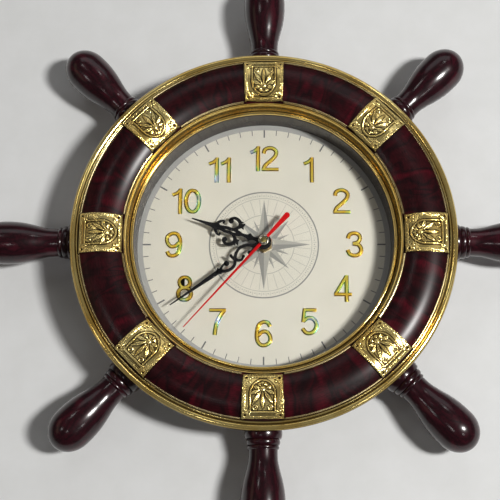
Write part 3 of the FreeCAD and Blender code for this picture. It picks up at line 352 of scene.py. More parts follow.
def wear_group() -> bpy.types.NodeTree:
    """Shared group: cloudy handling marks and fine specks over a surface, built once."""
    if "handling_wear" in bpy.data.node_groups:
        return bpy.data.node_groups["handling_wear"]
    group = bpy.data.node_groups.new("handling_wear", "ShaderNodeTree")
    face = group.interface
    for name, kind, value in (("Roughness", "NodeSocketFloat", 0.3), ("Spread", "NodeSocketFloat", 0.1),
                              ("Grain", "NodeSocketFloat", 900.0), ("Depth", "NodeSocketFloat", 0.05)):
        face.new_socket(name, in_out="INPUT", socket_type=kind).default_value = value
    face.new_socket("Roughness", in_out="OUTPUT", socket_type="NodeSocketFloat")
    face.new_socket("Shade", in_out="OUTPUT", socket_type="NodeSocketFloat")
    face.new_socket("Height", in_out="OUTPUT", socket_type="NodeSocketFloat")
    sheet = Sheet(group)
    given = sheet.put("NodeGroupInput").outputs
    where = sheet.put("TexCoord").outputs["Object"]
    cloud = sheet.put("TexNoise", Vector=where, Scale=34.0, Detail=4.0, Roughness=0.6).outputs["Fac"]
    grain = sheet.put("TexNoise", Vector=where, Scale=given["Grain"], Detail=2.0, Roughness=0.5).outputs["Fac"]
    swing = sheet.maths("MULTIPLY", sheet.maths("SUBTRACT", cloud, 0.5), given["Spread"])
    rough = sheet.maths("ADD", given["Roughness"], swing)
    result = sheet.put("NodeGroupOutput")
    group.links.new(rough, result.inputs["Roughness"])
    group.links.new(cloud, result.inputs["Shade"])
    group.links.new(sheet.maths("MULTIPLY", grain, given["Depth"]), result.inputs["Height"])
    return group


@dataclass(frozen=True)
class Finish:
    """A finish: its material's name, its plain shader settings and how its nodes are drawn."""

    name: str
    metallic: float = 0.0
    coat: float = 0.0
    coat_roughness: float = 0.05
    ior: float = 1.5
    gloss_level: float = 0.5
    roughness: float = 0.4
    spread: float = 0.1
    grain: float = 900.0
    depth: float = 0.05
    bump: float = 0.1

    def colour(self, sheet: Sheet, shade: bpy.types.NodeSocket) -> bpy.types.NodeSocket:
        """Colour over the surface, from the wear group's cloudy shade."""
        raise NotImplementedError

    def height(self, sheet: Sheet) -> bpy.types.NodeSocket | None:
        """Height of the finish's own relief, if it has one."""
        return None

    def material(self) -> bpy.types.Material:
        """The material, made once and then used again."""
        name = f"{self.name}_finish"
        if name in bpy.data.materials:
            return bpy.data.materials[name]
        material = bpy.data.materials.new(name)
        material.use_nodes = True
        material.node_tree.nodes.clear()
        sheet = Sheet(material.node_tree)
        wear = sheet.put("Group", {"node_tree": wear_group()}, Roughness=self.roughness,
                         Spread=self.spread, Grain=self.grain, Depth=self.depth)
        height = wear.outputs["Height"]
        own = self.height(sheet)
        if own is not None:
            height = sheet.maths("ADD", height, own)
        normal = sheet.put("Bump", Strength=self.bump, Distance=MM, Height=height).outputs["Normal"]
        shader = sheet.put("BsdfPrincipled", Base_Color=self.colour(sheet, wear.outputs["Shade"]),
                           Roughness=wear.outputs["Roughness"], Normal=normal, Metallic=self.metallic,
                           IOR=self.ior)
        shader.inputs["Specular IOR Level"].default_value = self.gloss_level
        shader.inputs["Coat Weight"].default_value = self.coat
        shader.inputs["Coat Roughness"].default_value = self.coat_roughness
        output = sheet.put("OutputMaterial")
        sheet.tree.links.new(self.surface(sheet, shader), output.inputs["Surface"])
        return material

    def surface(self, sheet: Sheet, shader: bpy.types.Node) -> bpy.types.NodeSocket:
        """Shader that reaches the surface."""
        return shader.outputs["BSDF"]


@dataclass(frozen=True)
class Plain(Finish):
    """Moulded, painted, plated or printed surface: two near tones, clouded."""

    dark: Colour = (0.4, 0.4, 0.4)
    light: Colour = (0.5, 0.5, 0.5)

    def colour(self, sheet: Sheet, shade: bpy.types.NodeSocket) -> bpy.types.NodeSocket:
        """Cloudy change from the dark tone to the light one."""
        return sheet.ramp(shade, [(0.3, self.dark), (0.7, self.light)])


@dataclass(frozen=True)
class Lacquer(Finish):
    """Dark red-brown figured wood under a thick gloss lacquer; reads the marks in "grain"."""

    deep: Colour = (0.010, 0.002, 0.003)
    body: Colour = (0.030, 0.003, 0.005)
    streak: Colour = (0.066, 0.003, 0.008)
    stretch: tuple[float, float, float] = (0.075, 0.03, 0.03)

    def figure(self, sheet: Sheet) -> bpy.types.NodeSocket:
        """Streaky figure that runs along the grain and wanders."""
        where = sheet.place(self.stretch, sheet.marks("grain"))
        drift = sheet.put("TexNoise", Vector=where, Scale=0.5, Detail=2.0, Roughness=0.5)
        bent = sheet.put("VectorMath", {"operation": "MULTIPLY_ADD"}, _0=drift.outputs["Color"],
                         _1=(1.5, 1.5, 1.5), _2=where).outputs[0]
        return sheet.put("TexNoise", Vector=bent, Scale=1.0, Detail=2.5, Roughness=0.5,
                         Distortion=0.4).outputs["Fac"]

    def colour(self, sheet: Sheet, shade: bpy.types.NodeSocket) -> bpy.types.NodeSocket:
        """Near black ground, red-brown body and crimson streaks, with fine pores."""
        tone = sheet.ramp(self.figure(sheet), [(0.26, self.deep), (0.42, self.body), (0.50, self.deep),
                                               (0.68, self.streak), (0.84, self.body)])
        pores = sheet.put("TexNoise", Vector=sheet.place((0.25, 2.4, 2.4), sheet.marks("grain")),
                          Scale=1.0, Detail=3.0).outputs["Fac"]
        dark = sheet.spread(pores, 0.55, 1.0, 0.42, 0.56)
        return sheet.blend(1.0, tone, sheet.put("CombineColor", _0=dark, _1=dark, _2=dark).outputs[0], "MULTIPLY")


@dataclass(frozen=True)
class Gilt(Finish):
    """Polished pale gold, a little darker and redder where it is clouded."""

    dark: Colour = (0.82, 0.53, 0.12)
    light: Colour = (1.0, 0.79, 0.31)

    grooves: tuple[tuple[float, float], ...] = ()
    tarnish: Colour = (0.070, 0.038, 0.008)

    def colour(self, sheet: Sheet, shade: bpy.types.NodeSocket) -> bpy.types.NodeSocket:
        """Gold that turns warmer in the clouds, with painted shade along grooves given by radius and half width."""
        gold = sheet.ramp(shade, [(0.30, self.dark), (0.62, self.light)])
        for radius, half in self.grooves:
            flat = sheet.put("VectorMath", {"operation": "LENGTH"}, _0=sheet.place((1, 0, 1))).outputs["Value"]
            away = sheet.maths("ABSOLUTE", sheet.maths("SUBTRACT", flat, radius * MM))
            # Painted shade: the gold darkens towards the middle of each groove.
            gold = sheet.blend(sheet.spread(away, 0.85, 0.0, 0.3 * half * MM, half * MM), gold, self.tarnish + (1,))
        return gold


@dataclass(frozen=True)
class Relief(Gilt):
    """Gold over a stamped relief, with painted shade in its hollows and along its raised edges; reads the share of
    painted light stored in the relief attribute.
    """

    # Colour of the painted shade in the hollows and beside raised edges.
    hollow: Colour = (0.026, 0.012, 0.003)

    def colour(self, sheet: Sheet, shade: bpy.types.NodeSocket) -> bpy.types.NodeSocket:
        """Gold on the raised parts and painted shade in the hollows."""
        gold = super().colour(sheet, shade)
        # Painted shade: the relief marks hold the share of lit gold, 0 where shade is painted.
        marks = sheet.put("SeparateXYZ", Vector=sheet.marks("relief")).outputs["X"]
        raised = sheet.spread(marks, 0.0, 1.0, 0.10, 0.60)
        return sheet.blend(raised, self.hollow + (1,), gold)


@dataclass(frozen=True)
class Foil(Finish):
    """Metal foil whose tint runs over its face in soft patches."""

    tints: tuple[tuple[float, Colour], ...] = ()

    def colour(self, sheet: Sheet, shade: bpy.types.NodeSocket) -> bpy.types.NodeSocket:
        """Patches of tint across each digit."""
        patches = sheet.put("TexNoise", Vector=sheet.place((70, 70, 46)), Scale=1.0, Detail=1.5)
        return sheet.ramp(patches.outputs["Fac"], list(self.tints))


@dataclass(frozen=True)
class Clear(Plain):
    """Clear flat glass that lets lamp light through to the dial."""

    def surface(self, sheet: Sheet, shader: bpy.types.Node) -> bpy.types.NodeSocket:
        """Glass, but see-through for shadows and for light that the dial spreads."""
        shader.inputs["Transmission Weight"].default_value = 1.0
        path = sheet.put("LightPath").outputs
        mix = sheet.put("MixShader", Fac=sheet.maths("MAXIMUM", path["Is Shadow Ray"], path["Is Diffuse Ray"]))
        sheet.tree.links.new(shader.outputs["BSDF"], mix.inputs[1])
        sheet.tree.links.new(sheet.put("BsdfTransparent").outputs[0], mix.inputs[2])
        return mix.outputs[0]


@dataclass(frozen=True)
class Stage(Plain):
    """Pale wall, see-through from behind and for lamp light on the clock's back."""

    def surface(self, sheet: Sheet, shader: bpy.types.Node) -> bpy.types.NodeSocket:
        """Wall paint in front and nothing from the back."""
        behind = sheet.put("NewGeometry").outputs["Backfacing"]
        mix = sheet.put("MixShader", Fac=sheet.maths("MAXIMUM", behind, sheet.put("LightPath").outputs["Is Shadow Ray"]))
        sheet.tree.links.new(shader.outputs["BSDF"], mix.inputs[1])
        sheet.tree.links.new(sheet.put("BsdfTransparent").outputs[0], mix.inputs[2])
        return mix.outputs[0]


BAND_WOOD = Lacquer("band_lacquer", gloss_level=0.1, coat=0.3, coat_roughness=0.27, roughness=0.32, spread=0.15, bump=0.02)
HANDLE_WOOD = Lacquer("handle_lacquer", gloss_level=0.1, coat=0.8, coat_roughness=0.17, roughness=0.30, spread=0.15, bump=0.02,
                      deep=(0.014, 0.003, 0.005), body=(0.030, 0.004, 0.008), streak=(0.050, 0.005, 0.011),
                      stretch=(0.14, 0.05, 0.14))
# Painted shade darkens this gold along the listed grooves (radius, half width).
GILT = Gilt("polished_gilt", metallic=0.86, roughness=0.12,
            grooves=((104.4, 0.8), (106.4, 0.5), (108.4, 0.6), (143.6, 0.6), (145.4, 0.9), (150.3, 0.5)), spread=0.10, grain=1400.0, bump=0.04)
TRIM_GILT = Gilt("trim_gilt", metallic=1.0, roughness=0.26, spread=0.12, grain=1400.0, bump=0.06,
                 dark=(0.60, 0.44, 0.18), light=(0.86, 0.70, 0.38))
PLAQUE_GILT = Relief("plaque_gilt", metallic=0.84, roughness=0.20, spread=0.14, grain=1700.0, depth=0.25, bump=0.25,
                     dark=(0.89, 0.60, 0.155), light=(1.0, 0.82, 0.34))
GLASS = Clear("clear_glass", roughness=0.0, spread=0.0, ior=1.45, bump=0.0,
              dark=(0.97, 0.98, 0.98), light=(1.0, 1.0, 1.0))
WELL = Plain("well_gloss", roughness=0.22, gloss_level=0.25, spread=0.08, bump=0.02,
             dark=(0.040, 0.032, 0.027), light=(0.054, 0.044, 0.038))
PAPER = Plain("dial_paper", roughness=0.42, spread=0.12, grain=2600.0, bump=0.05,
              dark=(0.70, 0.675, 0.575), light=(0.745, 0.72, 0.62))
RING_INK = Plain("ring_ink", roughness=0.45, grain=2600.0, dark=(0.36, 0.36, 0.34), light=(0.40, 0.40, 0.38))
TICK_INK = Plain("tick_ink", roughness=0.45, grain=2600.0, dark=(0.10, 0.10, 0.10), light=(0.14, 0.14, 0.14))
ROSE_INK = Plain("rose_ink", roughness=0.45, grain=2600.0, dark=(0.24, 0.24, 0.22), light=(0.28, 0.28, 0.26))
PALE_INK = Plain("pale_ink", roughness=0.45, grain=2600.0, dark=(0.38, 0.375, 0.33), light=(0.43, 0.425, 0.375))
# The edge foil's dark tints are painted shade and painted dark reflection on the numerals' bevels.
SHADED_EDGE_FOIL = Foil("edge_foil", metallic=0.75, roughness=0.2, spread=0.10, bump=0.05, tints=(
    (0.30, (0.20, 0.30, 0.62)), (0.38, (0.10, 0.38, 0.10)), (0.45, (0.24, 0.15, 0.015)),
    (0.58, (0.34, 0.17, 0.01)), (0.66, (0.14, 0.36, 0.05)), (0.74, (0.26, 0.17, 0.02))))
CORE_FOIL = Foil("core_foil", metallic=0.5, roughness=0.16, spread=0.10, bump=0.05, tints=(
    (0.30, (0.72, 0.78, 0.85)), (0.37, (0.72, 0.85, 0.16)), (0.44, (1.0, 0.80, 0.14)),
    (0.60, (1.0, 0.60, 0.05)), (0.68, (0.80, 0.85, 0.16)), (0.76, (1.0, 0.82, 0.18))))
ENAMEL = Plain("black_enamel", roughness=0.24, gloss_level=0.25, spread=0.12, bump=0.03, dark=(0.006, 0.006, 0.007), light=(0.012, 0.012, 0.013))
RED = Plain("red_enamel", roughness=0.5, gloss_level=0.1, spread=0.10, bump=0.02,
            dark=(0.50, 0.001, 0.003), light=(0.60, 0.002, 0.004))
BRASS = Plain("turned_brass", metallic=1.0, roughness=0.30, grain=1200.0, bump=0.08, dark=(0.46, 0.32, 0.12), light=(0.66, 0.50, 0.24))
STEEL = Plain("plated_steel", metallic=1.0, roughness=0.30, grain=1200.0, bump=0.08, dark=(0.42, 0.42, 0.40), light=(0.58, 0.58, 0.56))
NICKEL = Plain("cap_nickel", metallic=1.0, roughness=0.14, bump=0.02, dark=(0.66, 0.62, 0.50), light=(0.78, 0.75, 0.66))
OLIVE = Plain("cap_centre", metallic=1.0, roughness=0.30, bump=0.05, dark=(0.24, 0.20, 0.07), light=(0.34, 0.28, 0.11))
BOARD = Plain("hardboard", roughness=0.72, grain=700.0, depth=0.6, bump=0.5, dark=(0.115, 0.058, 0.026), light=(0.19, 0.105, 0.050))
CARD = Plain("grey_card", roughness=0.85, grain=1100.0, depth=0.4, bump=0.3, dark=(0.20, 0.15, 0.09), light=(0.29, 0.22, 0.14))
BLACK_SHELL = Plain("black_shell", roughness=0.50, grain=2200.0, depth=0.3, bump=0.25, dark=(0.008, 0.008, 0.009), light=(0.014, 0.014, 0.015))
RUBBER = Plain("black_rubber", roughness=0.75, grain=1500.0, bump=0.2, dark=(0.012, 0.012, 0.012), light=(0.02, 0.02, 0.02))
NYLON = Plain("white_nylon", roughness=0.45, grain=1500.0, bump=0.06, dark=(0.62, 0.62, 0.58), light=(0.74, 0.74, 0.70))
SLEEVE = Plain("battery_sleeve", roughness=0.25, spread=0.10, bump=0.03, dark=(0.010, 0.014, 0.030), light=(0.018, 0.024, 0.046))
COPPER = Plain("copper_wire", metallic=1.0, roughness=0.35, grain=3000.0, bump=0.3, dark=(0.44, 0.13, 0.05), light=(0.66, 0.26, 0.12))
IRON = Plain("soft_iron", metallic=1.0, roughness=0.42, bump=0.1, dark=(0.24, 0.24, 0.23), light=(0.34, 0.34, 0.33))
RESIST = Plain("green_resist", roughness=0.30, bump=0.05, dark=(0.006, 0.060, 0.020), light=(0.012, 0.095, 0.034))
RESIN = Plain("black_resin", roughness=0.18, bump=0.02, dark=(0.006, 0.006, 0.006), light=(0.012, 0.012, 0.012))
WALL = Stage("pale_wall", roughness=0.70, grain=500.0, depth=0.1, bump=0.05, dark=(0.665, 0.675, 0.675), light=(0.705, 0.715, 0.72))

CARRIED = {
    "glass": GLASS, "dial_sheet": PAPER, "dial_board": BOARD, "back_cover": BOARD, "spacer_ring": CARD,
    "cover_screws": STEEL, "handle_screws": STEEL, "handle_washers": STEEL, "hanger_plate": STEEL,
    "hanger_rivets": STEEL, "movement_case": BLACK_SHELL, "movement_cover": BLACK_SHELL,
    "threaded_bush": BRASS, "dial_nut": BRASS, "dial_washer": STEEL, "rubber_gasket": RUBBER,
    "mid_plate": NYLON, "rotor": NYLON, "step_wheel": NYLON, "seconds_wheel": NYLON, "third_wheel": NYLON,
    "centre_wheel": NYLON, "setting_wheel": NYLON, "hour_wheel": NYLON, "coil_bobbin": NYLON,
    "setting_knob": BLACK_SHELL, "battery": SLEEVE, "positive_contact": STEEL, "negative_contact": STEEL,
    "stator": IRON, "coil_winding": COPPER, "circuit_board": RESIST, "quartz_crystal": STEEL, "clock_chip": RESIN,
}


def finish(piece: bpy.types.Object, look: Finish, body: Body, slot: str, *nodes: str) -> bpy.types.Object:
    """Stand a piece up, dress it and place it in the frame.

    Args:
        piece: New piece, lying on its back.
        look: Its finish.
        body: Body that it rides on.
        slot: The record's material slot; not used.
        nodes: CAD nodes that it stands for.

    Returns:
        The piece.
    """
    Bench.stand_up(piece)
    piece.data.materials.clear()
    piece.data.materials.append(look.material())
    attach(piece, body.value)
    if nodes:
        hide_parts(*nodes)
    LOG.info("%s: %d faces", piece.name, len(piece.data.polygons))
    return piece


# Sub-assemblies


@dataclass
class Rim:
    """Lacquered rim: a channel, open at the back, with a crowned band in front."""

    inner_radius: float = 110.4
    outer_radius: float = 141.8
    edge_z: float = 54.2
    crown_rise: float = 4.7
    wall: float = 3.0
    seat_z: float = 52.5
    shoulder_z: float = 48.5
    side_top: Point = (146.0, 46.0)
    back_radius: float = 136.0
    inner_wall: float = 104.3
    bezel_z: float = 44.0
    cover_z: float = 2.5
    steps: int = 288

    def crown(self, lift: float, count: int) -> list[Point]:
        """Points over the crown, from the outer edge to the inner one."""
        middle = (self.inner_radius + self.outer_radius) / 2
        half = (self.outer_radius - self.inner_radius) / 2
        radius = (half ** 2 + self.crown_rise ** 2) / (2 * self.crown_rise)
        centre = self.edge_z + self.crown_rise - radius
        sweep = math.degrees(math.asin(half / radius))
        return arc((middle, centre), radius + lift, 90 - sweep, 90 + sweep, count)

    def build(self) -> bpy.types.Object:
        """Turn the rim and mark its grain round the ring."""
        outer_step, inner_step = self.outer_radius + 1.4, self.inner_radius - 1.8
        outline = [
            (self.back_radius, 0), self.side_top, (self.side_top[0], self.shoulder_z),
            (outer_step, self.shoulder_z), (outer_step, self.seat_z), (self.outer_radius, self.seat_z),
            *self.crown(0, 28), (self.inner_radius, self.seat_z), (inner_step, self.seat_z),
            (inner_step, self.bezel_z), (self.inner_wall, self.bezel_z), (self.inner_wall, self.cover_z),
            (self.inner_wall + self.wall, self.cover_z), (self.inner_wall + self.wall, self.bezel_z - self.wall),
            (inner_step + self.wall, self.bezel_z - self.wall), (inner_step + self.wall, self.seat_z - self.wall / 2),
            *reversed(self.crown(-self.wall, 12)[1:-1]),
            (outer_step - self.wall - 1.4, self.seat_z - self.wall / 2),
            (outer_step - self.wall - 1.4, self.shoulder_z - self.wall),
            (self.side_top[0] - self.wall - 0.65, self.shoulder_z - self.wall),
            (self.back_radius - self.wall, 0), (self.back_radius, 0),
        ]
        rim = Bench.lathe("rim_band", outline, self.steps)
        Bench.mark(rim, "grain", lambda p: Vector((math.atan2(p.x, p.y) * 126.0, math.hypot(p.x, p.y), p.z)))
        return finish(rim, BAND_WOOD, Body.CASE, "lacquered_wood", "rim")


@dataclass
class Handles:
    """Eight turned handles, each with a collar, two beads, a neck and a bulb."""

    count: int = 8
    axis_z: float = 27.5
    seat: float = 145.0
    tip: float = 226.0
    collar: Point = (14.6, 9.2)
    beads: tuple[Point, ...] = ((13.0, 4.8), (12.2, 3.2))
    neck_radius: float = 11.0
    bulb_radius: float = 17.0
    groove: float = 0.9
    spigot: Point = (5.0, 4.0)
    steps: int = 72
    length_shares: tuple[float, ...] = (0.0, 0.12, 0.23, 0.34, 0.46, 0.58, 0.69)
    swell_shares: tuple[float, ...] = (0.0, 0.05, 0.29, 0.60, 0.86, 0.985, 1.0)

    def outline(self) -> list[Point]:
        """Outline from the spigot's end, out along the handle, to the tip."""
        points = [(0.0, self.seat - self.spigot[1]), (self.spigot[0], self.seat - self.spigot[1]),
                  (self.spigot[0], self.seat)]
        along = self.seat
        for radius, length in (self.collar, *self.beads):
            low = radius - self.groove
            points.append((low, along))
            points += [(low + self.groove * math.sin(math.pi * step / 10) ** 0.6, along + length * step / 10)
                       for step in range(1, 10)]
            along += length
            points.append((low, along))
        span, swell = self.tip - along, self.bulb_radius - self.neck_radius
        knots = [(self.neck_radius + swell * across, along + span * share)
                 for share, across in zip(self.length_shares, self.swell_shares)]
        start = knots[-1]
        reach = self.tip - start[1]
        cap = [(start[0] * math.cos(math.radians(a)), start[1] + reach * math.sin(math.radians(a)))
               for a in range(6, 90, 6)]
        return [*points, *flow(knots, 5), *cap, (0.0, self.tip)]

    def build(self) -> list[bpy.types.Object]:
        """Turn one handle and copy it round the rim."""
        pattern = Bench.lathe("handle_pattern", self.outline(), self.steps, Axis.HANDLE)
        Bench.pick(pattern)
        pattern.location.z = self.axis_z * MM
        bpy.ops.object.transform_apply(location=True)
        Bench.mark(pattern, "grain", lambda p: p - Vector((0, 0, self.axis_z)))
        names = [f"turned_handle_{index + 1}" for index in range(self.count)]
        twins = Bench.around(pattern, names)
        for index, twin in enumerate(twins):
            offset = [value + 37.0 * index * (part % 3 == 1)
                      for part, value in enumerate(self.grain_values(twin))]
            twin.data.attributes["grain"].data.foreach_set("vector", offset)
            finish(twin, HANDLE_WOOD, Body.CASE, "lacquered_wood", f"handle_{index + 1}")
        return twins

    @staticmethod
    def grain_values(piece: bpy.types.Object) -> list[float]:
        """Grain marks of a handle, as one row of numbers."""
        values = [0.0] * (3 * len(piece.data.vertices))
        piece.data.attributes["grain"].data.foreach_get("vector", values)
        return values


@dataclass
class Mouldings:
    """Gilt mouldings each side of the wood, with the thin strips between the plaques."""

    outer_radius: float = 150.5
    outer_z: float = 50.0
    bead_width: float = 5.2
    bead_crown: float = 2.4
    root_radius: float = 143.2
    gap: float = 0.3
    shoulder_z: float = 48.5
    skirt: tuple[float, float, float] = (146.3, 147.8, 44.5)
    lip_radius: float = 101.8
    lip_bead: float = 2.3
    lip_z: float = 44.0
    cove_radius: float = 108.6
    cove_z: float = 53.0
    trims: tuple[tuple[float, float, float], ...] = ((108.65, 110.35, 8.35), (141.85, 143.15, 6.75))
    trim_z: float = 55.0
    seat_z: float = 52.5
    steps: int = 360
    slots: int = 8

    def outer(self) -> bpy.types.Object:
        """Outer moulding: small bead, groove and large rounded bead over a skirt."""
        root, start = self.root_radius + self.gap, self.outer_radius - self.bead_width
        bead_middle = (root + start) / 2
        skirt_inner, skirt_outer, skirt_z = self.skirt
        outline = [
            (root, self.shoulder_z), (root, 53.0),
            *arc((bead_middle - 0.1, 53.0), bead_middle - root - 0.1, 180, 20, 8),
            (start + 0.1, 51.9),
            *arc((self.outer_radius - self.bead_width / 2, self.outer_z - 0.1), self.bead_width / 2, 150, -20, 16),
            (self.outer_radius - 0.7, self.outer_z - 2.6), (skirt_outer, skirt_z), (skirt_inner, skirt_z),
            (skirt_inner, self.shoulder_z), (root, self.shoulder_z),
        ]
        return finish(Bench.lathe("outer_bead_ring", outline, self.steps), GILT, Body.CASE,
                      "gilt_metal", "outer_moulding")

    def inner(self) -> bpy.types.Object:
        """Inner moulding: rounded lip, a groove darkened with painted shade and a polished cove that climbs to the
        wood.
        """
        end, cove = self.lip_radius + self.lip_bead, self.cove_radius - self.gap
        ridge, ridge_z = (end + cove) / 2, self.lip_z + 4.4
        outline = [
            (self.lip_radius, self.lip_z), (self.lip_radius, self.lip_z + 0.9),
            *arc((self.lip_radius + self.lip_bead / 2, self.lip_z + 0.9), self.lip_bead / 2, 180, 0, 10),
            (end + 0.05, self.lip_z + 0.35), (end + 0.5, self.lip_z + 0.35),
            *bulge((end + 0.6, self.lip_z + 1.0), (ridge - 0.3, ridge_z), -0.45, 8),
            (ridge, ridge_z + 0.35), (ridge + 0.35, ridge_z + 0.3),
            *bulge((ridge + 0.45, ridge_z + 0.5), (cove - 0.5, self.cove_z - 0.4), -0.4, 8),
            (cove - 0.3, self.cove_z),
            (cove, self.cove_z), (cove, self.lip_z), (self.lip_radius, self.lip_z),
        ]
        return finish(Bench.lathe("inner_bead_ring", outline, self.steps), GILT, Body.CASE,
                      "gilt_metal", "inner_moulding")

    def strip(self, inner: float, outer: float, clear: float) -> bpy.types.Object:
        """One thin rounded strip, from plaque to plaque, centred half way between two."""
        middle, half = (inner + outer) / 2, (outer - inner) / 2
        top = self.trim_z - half
        outline = [(inner, self.seat_z), *arc((middle, top), half, 180, 0, 8), (outer, self.seat_z)]
        points = [Vector((radius, 0, z)) * MM for radius, z in reversed(outline)]
        piece = Bench.trace(points)
        bpy.ops.mesh.edge_face_add()
        sweep = math.radians(360 / self.slots - 2 * clear)
        bpy.ops.mesh.spin(steps=28, angle=sweep, center=(0, 0, 0), axis=(0, 0, 1))
        Bench.close_up()
        middle_turn = sum(math.atan2(v.co.y, v.co.x) for v in piece.data.vertices) / len(piece.data.vertices)
        piece.rotation_euler.z = math.pi / 2 - middle_turn
        Bench.pick(piece)
        bpy.ops.object.transform_apply(rotation=True)
        return Bench.smooth(piece)

    def build(self) -> list[bpy.types.Object]:
        """Make both mouldings and all the strips."""
        strips = []
        for number, (inner, outer, clear) in enumerate(self.trims):
            names = [f"strip_{number}_{index}" for index in range(self.slots)]
            strips += Bench.around(self.strip(inner, outer, clear), names, 180 / self.slots)
        joined = Bench.join("edge_strips", strips)
        return [self.outer(), self.inner(),
                finish(joined, TRIM_GILT, Body.CASE, "gilt_metal", "trim_strips")]


@dataclass
class Plaques:
    """Eight stamped plaques: pinned corners, a shield, a boss with petals, rays and scrolls."""

    rim: Rim = field(default_factory=Rim)
    count: int = 8
    inner_y: float = 108.9
    outer_y: float = 142.2
    inner_half: float = 15.0
    outer_half: float = 16.1
    thickness: float = 0.9
    boss_v: float = -5.4
    boss_reach: float = 2.7
    columns: int = 112
    rows: int = 118

    @staticmethod
    def ridge(distance: float, half: float, height: float) -> float:
        """Height of a rounded ridge at a distance from its middle."""
        share = min(abs(distance) / half, 1.0)
        return height * math.sqrt(max(0.0, 1 - share * share))

    @staticmethod
    def step(value: float, start: float, end: float) -> float:
        """Smooth step from 0 to 1."""
        share = min(max((value - start) / (end - start), 0.0), 1.0)
        return share * share * (3 - 2 * share)

    @staticmethod
    def to_line(u: float, v: float, points: list[Point]) -> float:
        """Distance from a place to a run of straight lines."""
        best = 1e9
        for (ax, ay), (bx, by) in zip(points, points[1:]):
            dx, dy = bx - ax, by - ay
            share = max(0.0, min(1.0, ((u - ax) * dx + (v - ay) * dy) / (dx * dx + dy * dy)))
            best = min(best, math.hypot(u - ax - dx * share, v - ay - dy * share))
        return best

    def shield(self, u: float, v: float) -> float:
        """Signed distance to the shield's outline: straight outward end, round inward end."""
        half, top, bottom = 9.3, 12.0, -12.2
        bend = bottom + half + 1.6
        if v > bend:
            return max(abs(u) - half, v - top)
        squeeze = (v - bend) / (bend - bottom) * half
        return math.hypot(u, squeeze) - half

    def relief(self, u: float, v: float, half: float) -> float:
        """Height of the relief.

        Args:
            u: Place across the plaque from its middle, in millimetres.
            v: Place outward from its middle, in millimetres.
            half: Half the plaque's width there.

        Returns:
            Height above the plain plate, in millimetres.
        """
        side, end = half - abs(u), (self.outer_y - self.inner_y) / 2 - abs(v)
        edge = min(side, end)
        grains = 0.13 * noise.noise(Vector((u * 2.1, v * 2.1, 3.0)))
        corner_u, corner_v = side - 2.8, end - 2.8
        in_corner = max(side, end) < 5.9
        rim_width = 2.0 if end < side and v > 0 else 2.7
        inside = min(edge - rim_width - 0.2, max(side, end) - 5.8)
        border = self.step(edge, 0.0, 0.5) * (1 - self.step(inside, -0.4, 0.1))
        height = 0.85 * border + grains * border * 2.6 - self.ridge(inside - 0.85, 0.85, 0.6)
        if edge < 1.6 and not in_corner:
            beads = math.sin(u * 2 * math.pi / 1.3) if end < side else math.sin(v * 2 * math.pi / 1.7)
            height += (0.24 if end < side else 0.14) * beads * self.step(edge, 0.2, 0.7)
        for du, dv in ((3.0, 0.4), (0.4, 3.0), (2.7, 2.7)):
            height = max(height, 0.5 + self.ridge(math.hypot(corner_u - du, corner_v - dv), 1.05, 0.7))
        pin = math.hypot(corner_u, corner_v)
        height = max(height, 0.75 + self.ridge(pin - 1.7, 0.6, 0.35)) if abs(pin - 1.7) < 0.6 else height
        height -= 1.0 * (1 - self.step(pin, 0.6, 1.1))
        gap = self.shield(u, v)
        height = max(height, self.ridge(gap + 0.1, 0.75, 1.45) if abs(gap + 0.1) < 0.75 else 0.0)
        height = max(height, 0.34 * self.step(-abs(gap - 1.75), -0.75, -0.2))
        if gap < -0.9:
            height = max(height, self.charge(abs(u), v) + grains * 0.6)
        return height

    def hollow_mask(self, u: float, v: float, half: float) -> float:
        """Share of bright gold at a place, from 0 where shade is painted in hollows, beside raised edges and on low
        parts, to 1 on the raised parts.
        """
        height = self.relief(u, v, half)
        around = sum(self.relief(u + du, v + dv, half + abs(du)) for du, dv in
                     ((0.8, 0.0), (-0.8, 0.0), (0.0, 0.8), (0.0, -0.8))) / 4
        # Painted shade: darker where the place lies below its neighbours and where it lies low, lighter where it stands
        # high.
        share = 0.26 + 3.6 * (height - around) + 1.0 * (height - 0.2)
        return min(max(share, 0.0), 1.0)

    def petal(self, u: float, v: float, degrees: float, length: float) -> float:
        """Height of one leaf that fans out from the boss.

        Args:
            u: Place across the plaque, in millimetres.
            v: Place outward from the boss, in millimetres.
            degrees: Lean of the leaf from straight outward.
            length: Reach of its tip from the boss's middle.

        Returns:
            Height above the plain plate, in millimetres.
        """
        lean = math.radians(degrees)
        share = (u * math.sin(lean) + v * math.cos(lean) - self.boss_reach) / (length - self.boss_reach)
        if not 0 < share < 1:
            return 0.0
        across = abs(u * math.cos(lean) - v * math.sin(lean))
        half = 0.35 + 1.35 * math.sin(math.pi * share ** 1.25)
        return self.ridge(across, half, 1.25) - 0.35 * (across < 0.25)

    def charge(self, u: float, v: float) -> float:
        """Height of the ornament within the shield, alike on both sides."""
        out = v - self.boss_v
        height = max(0.10, self.ridge(math.hypot(u, out), 2.5, 1.8))
        for degrees, length in ((0, 14.6), (33, 12.6), (66, 9.4), (102, 6.6), (146, 5.2)):
            height = max(height, self.petal(u, out, degrees, length))
        curl = math.hypot(u - 5.6, v - 8.6)
        height = max(height, self.ridge(curl - 1.6, 0.55, 1.0) if abs(curl - 1.6) < 0.55 else 0.0)
        return max(height, self.ridge(curl, 0.6, 0.9))

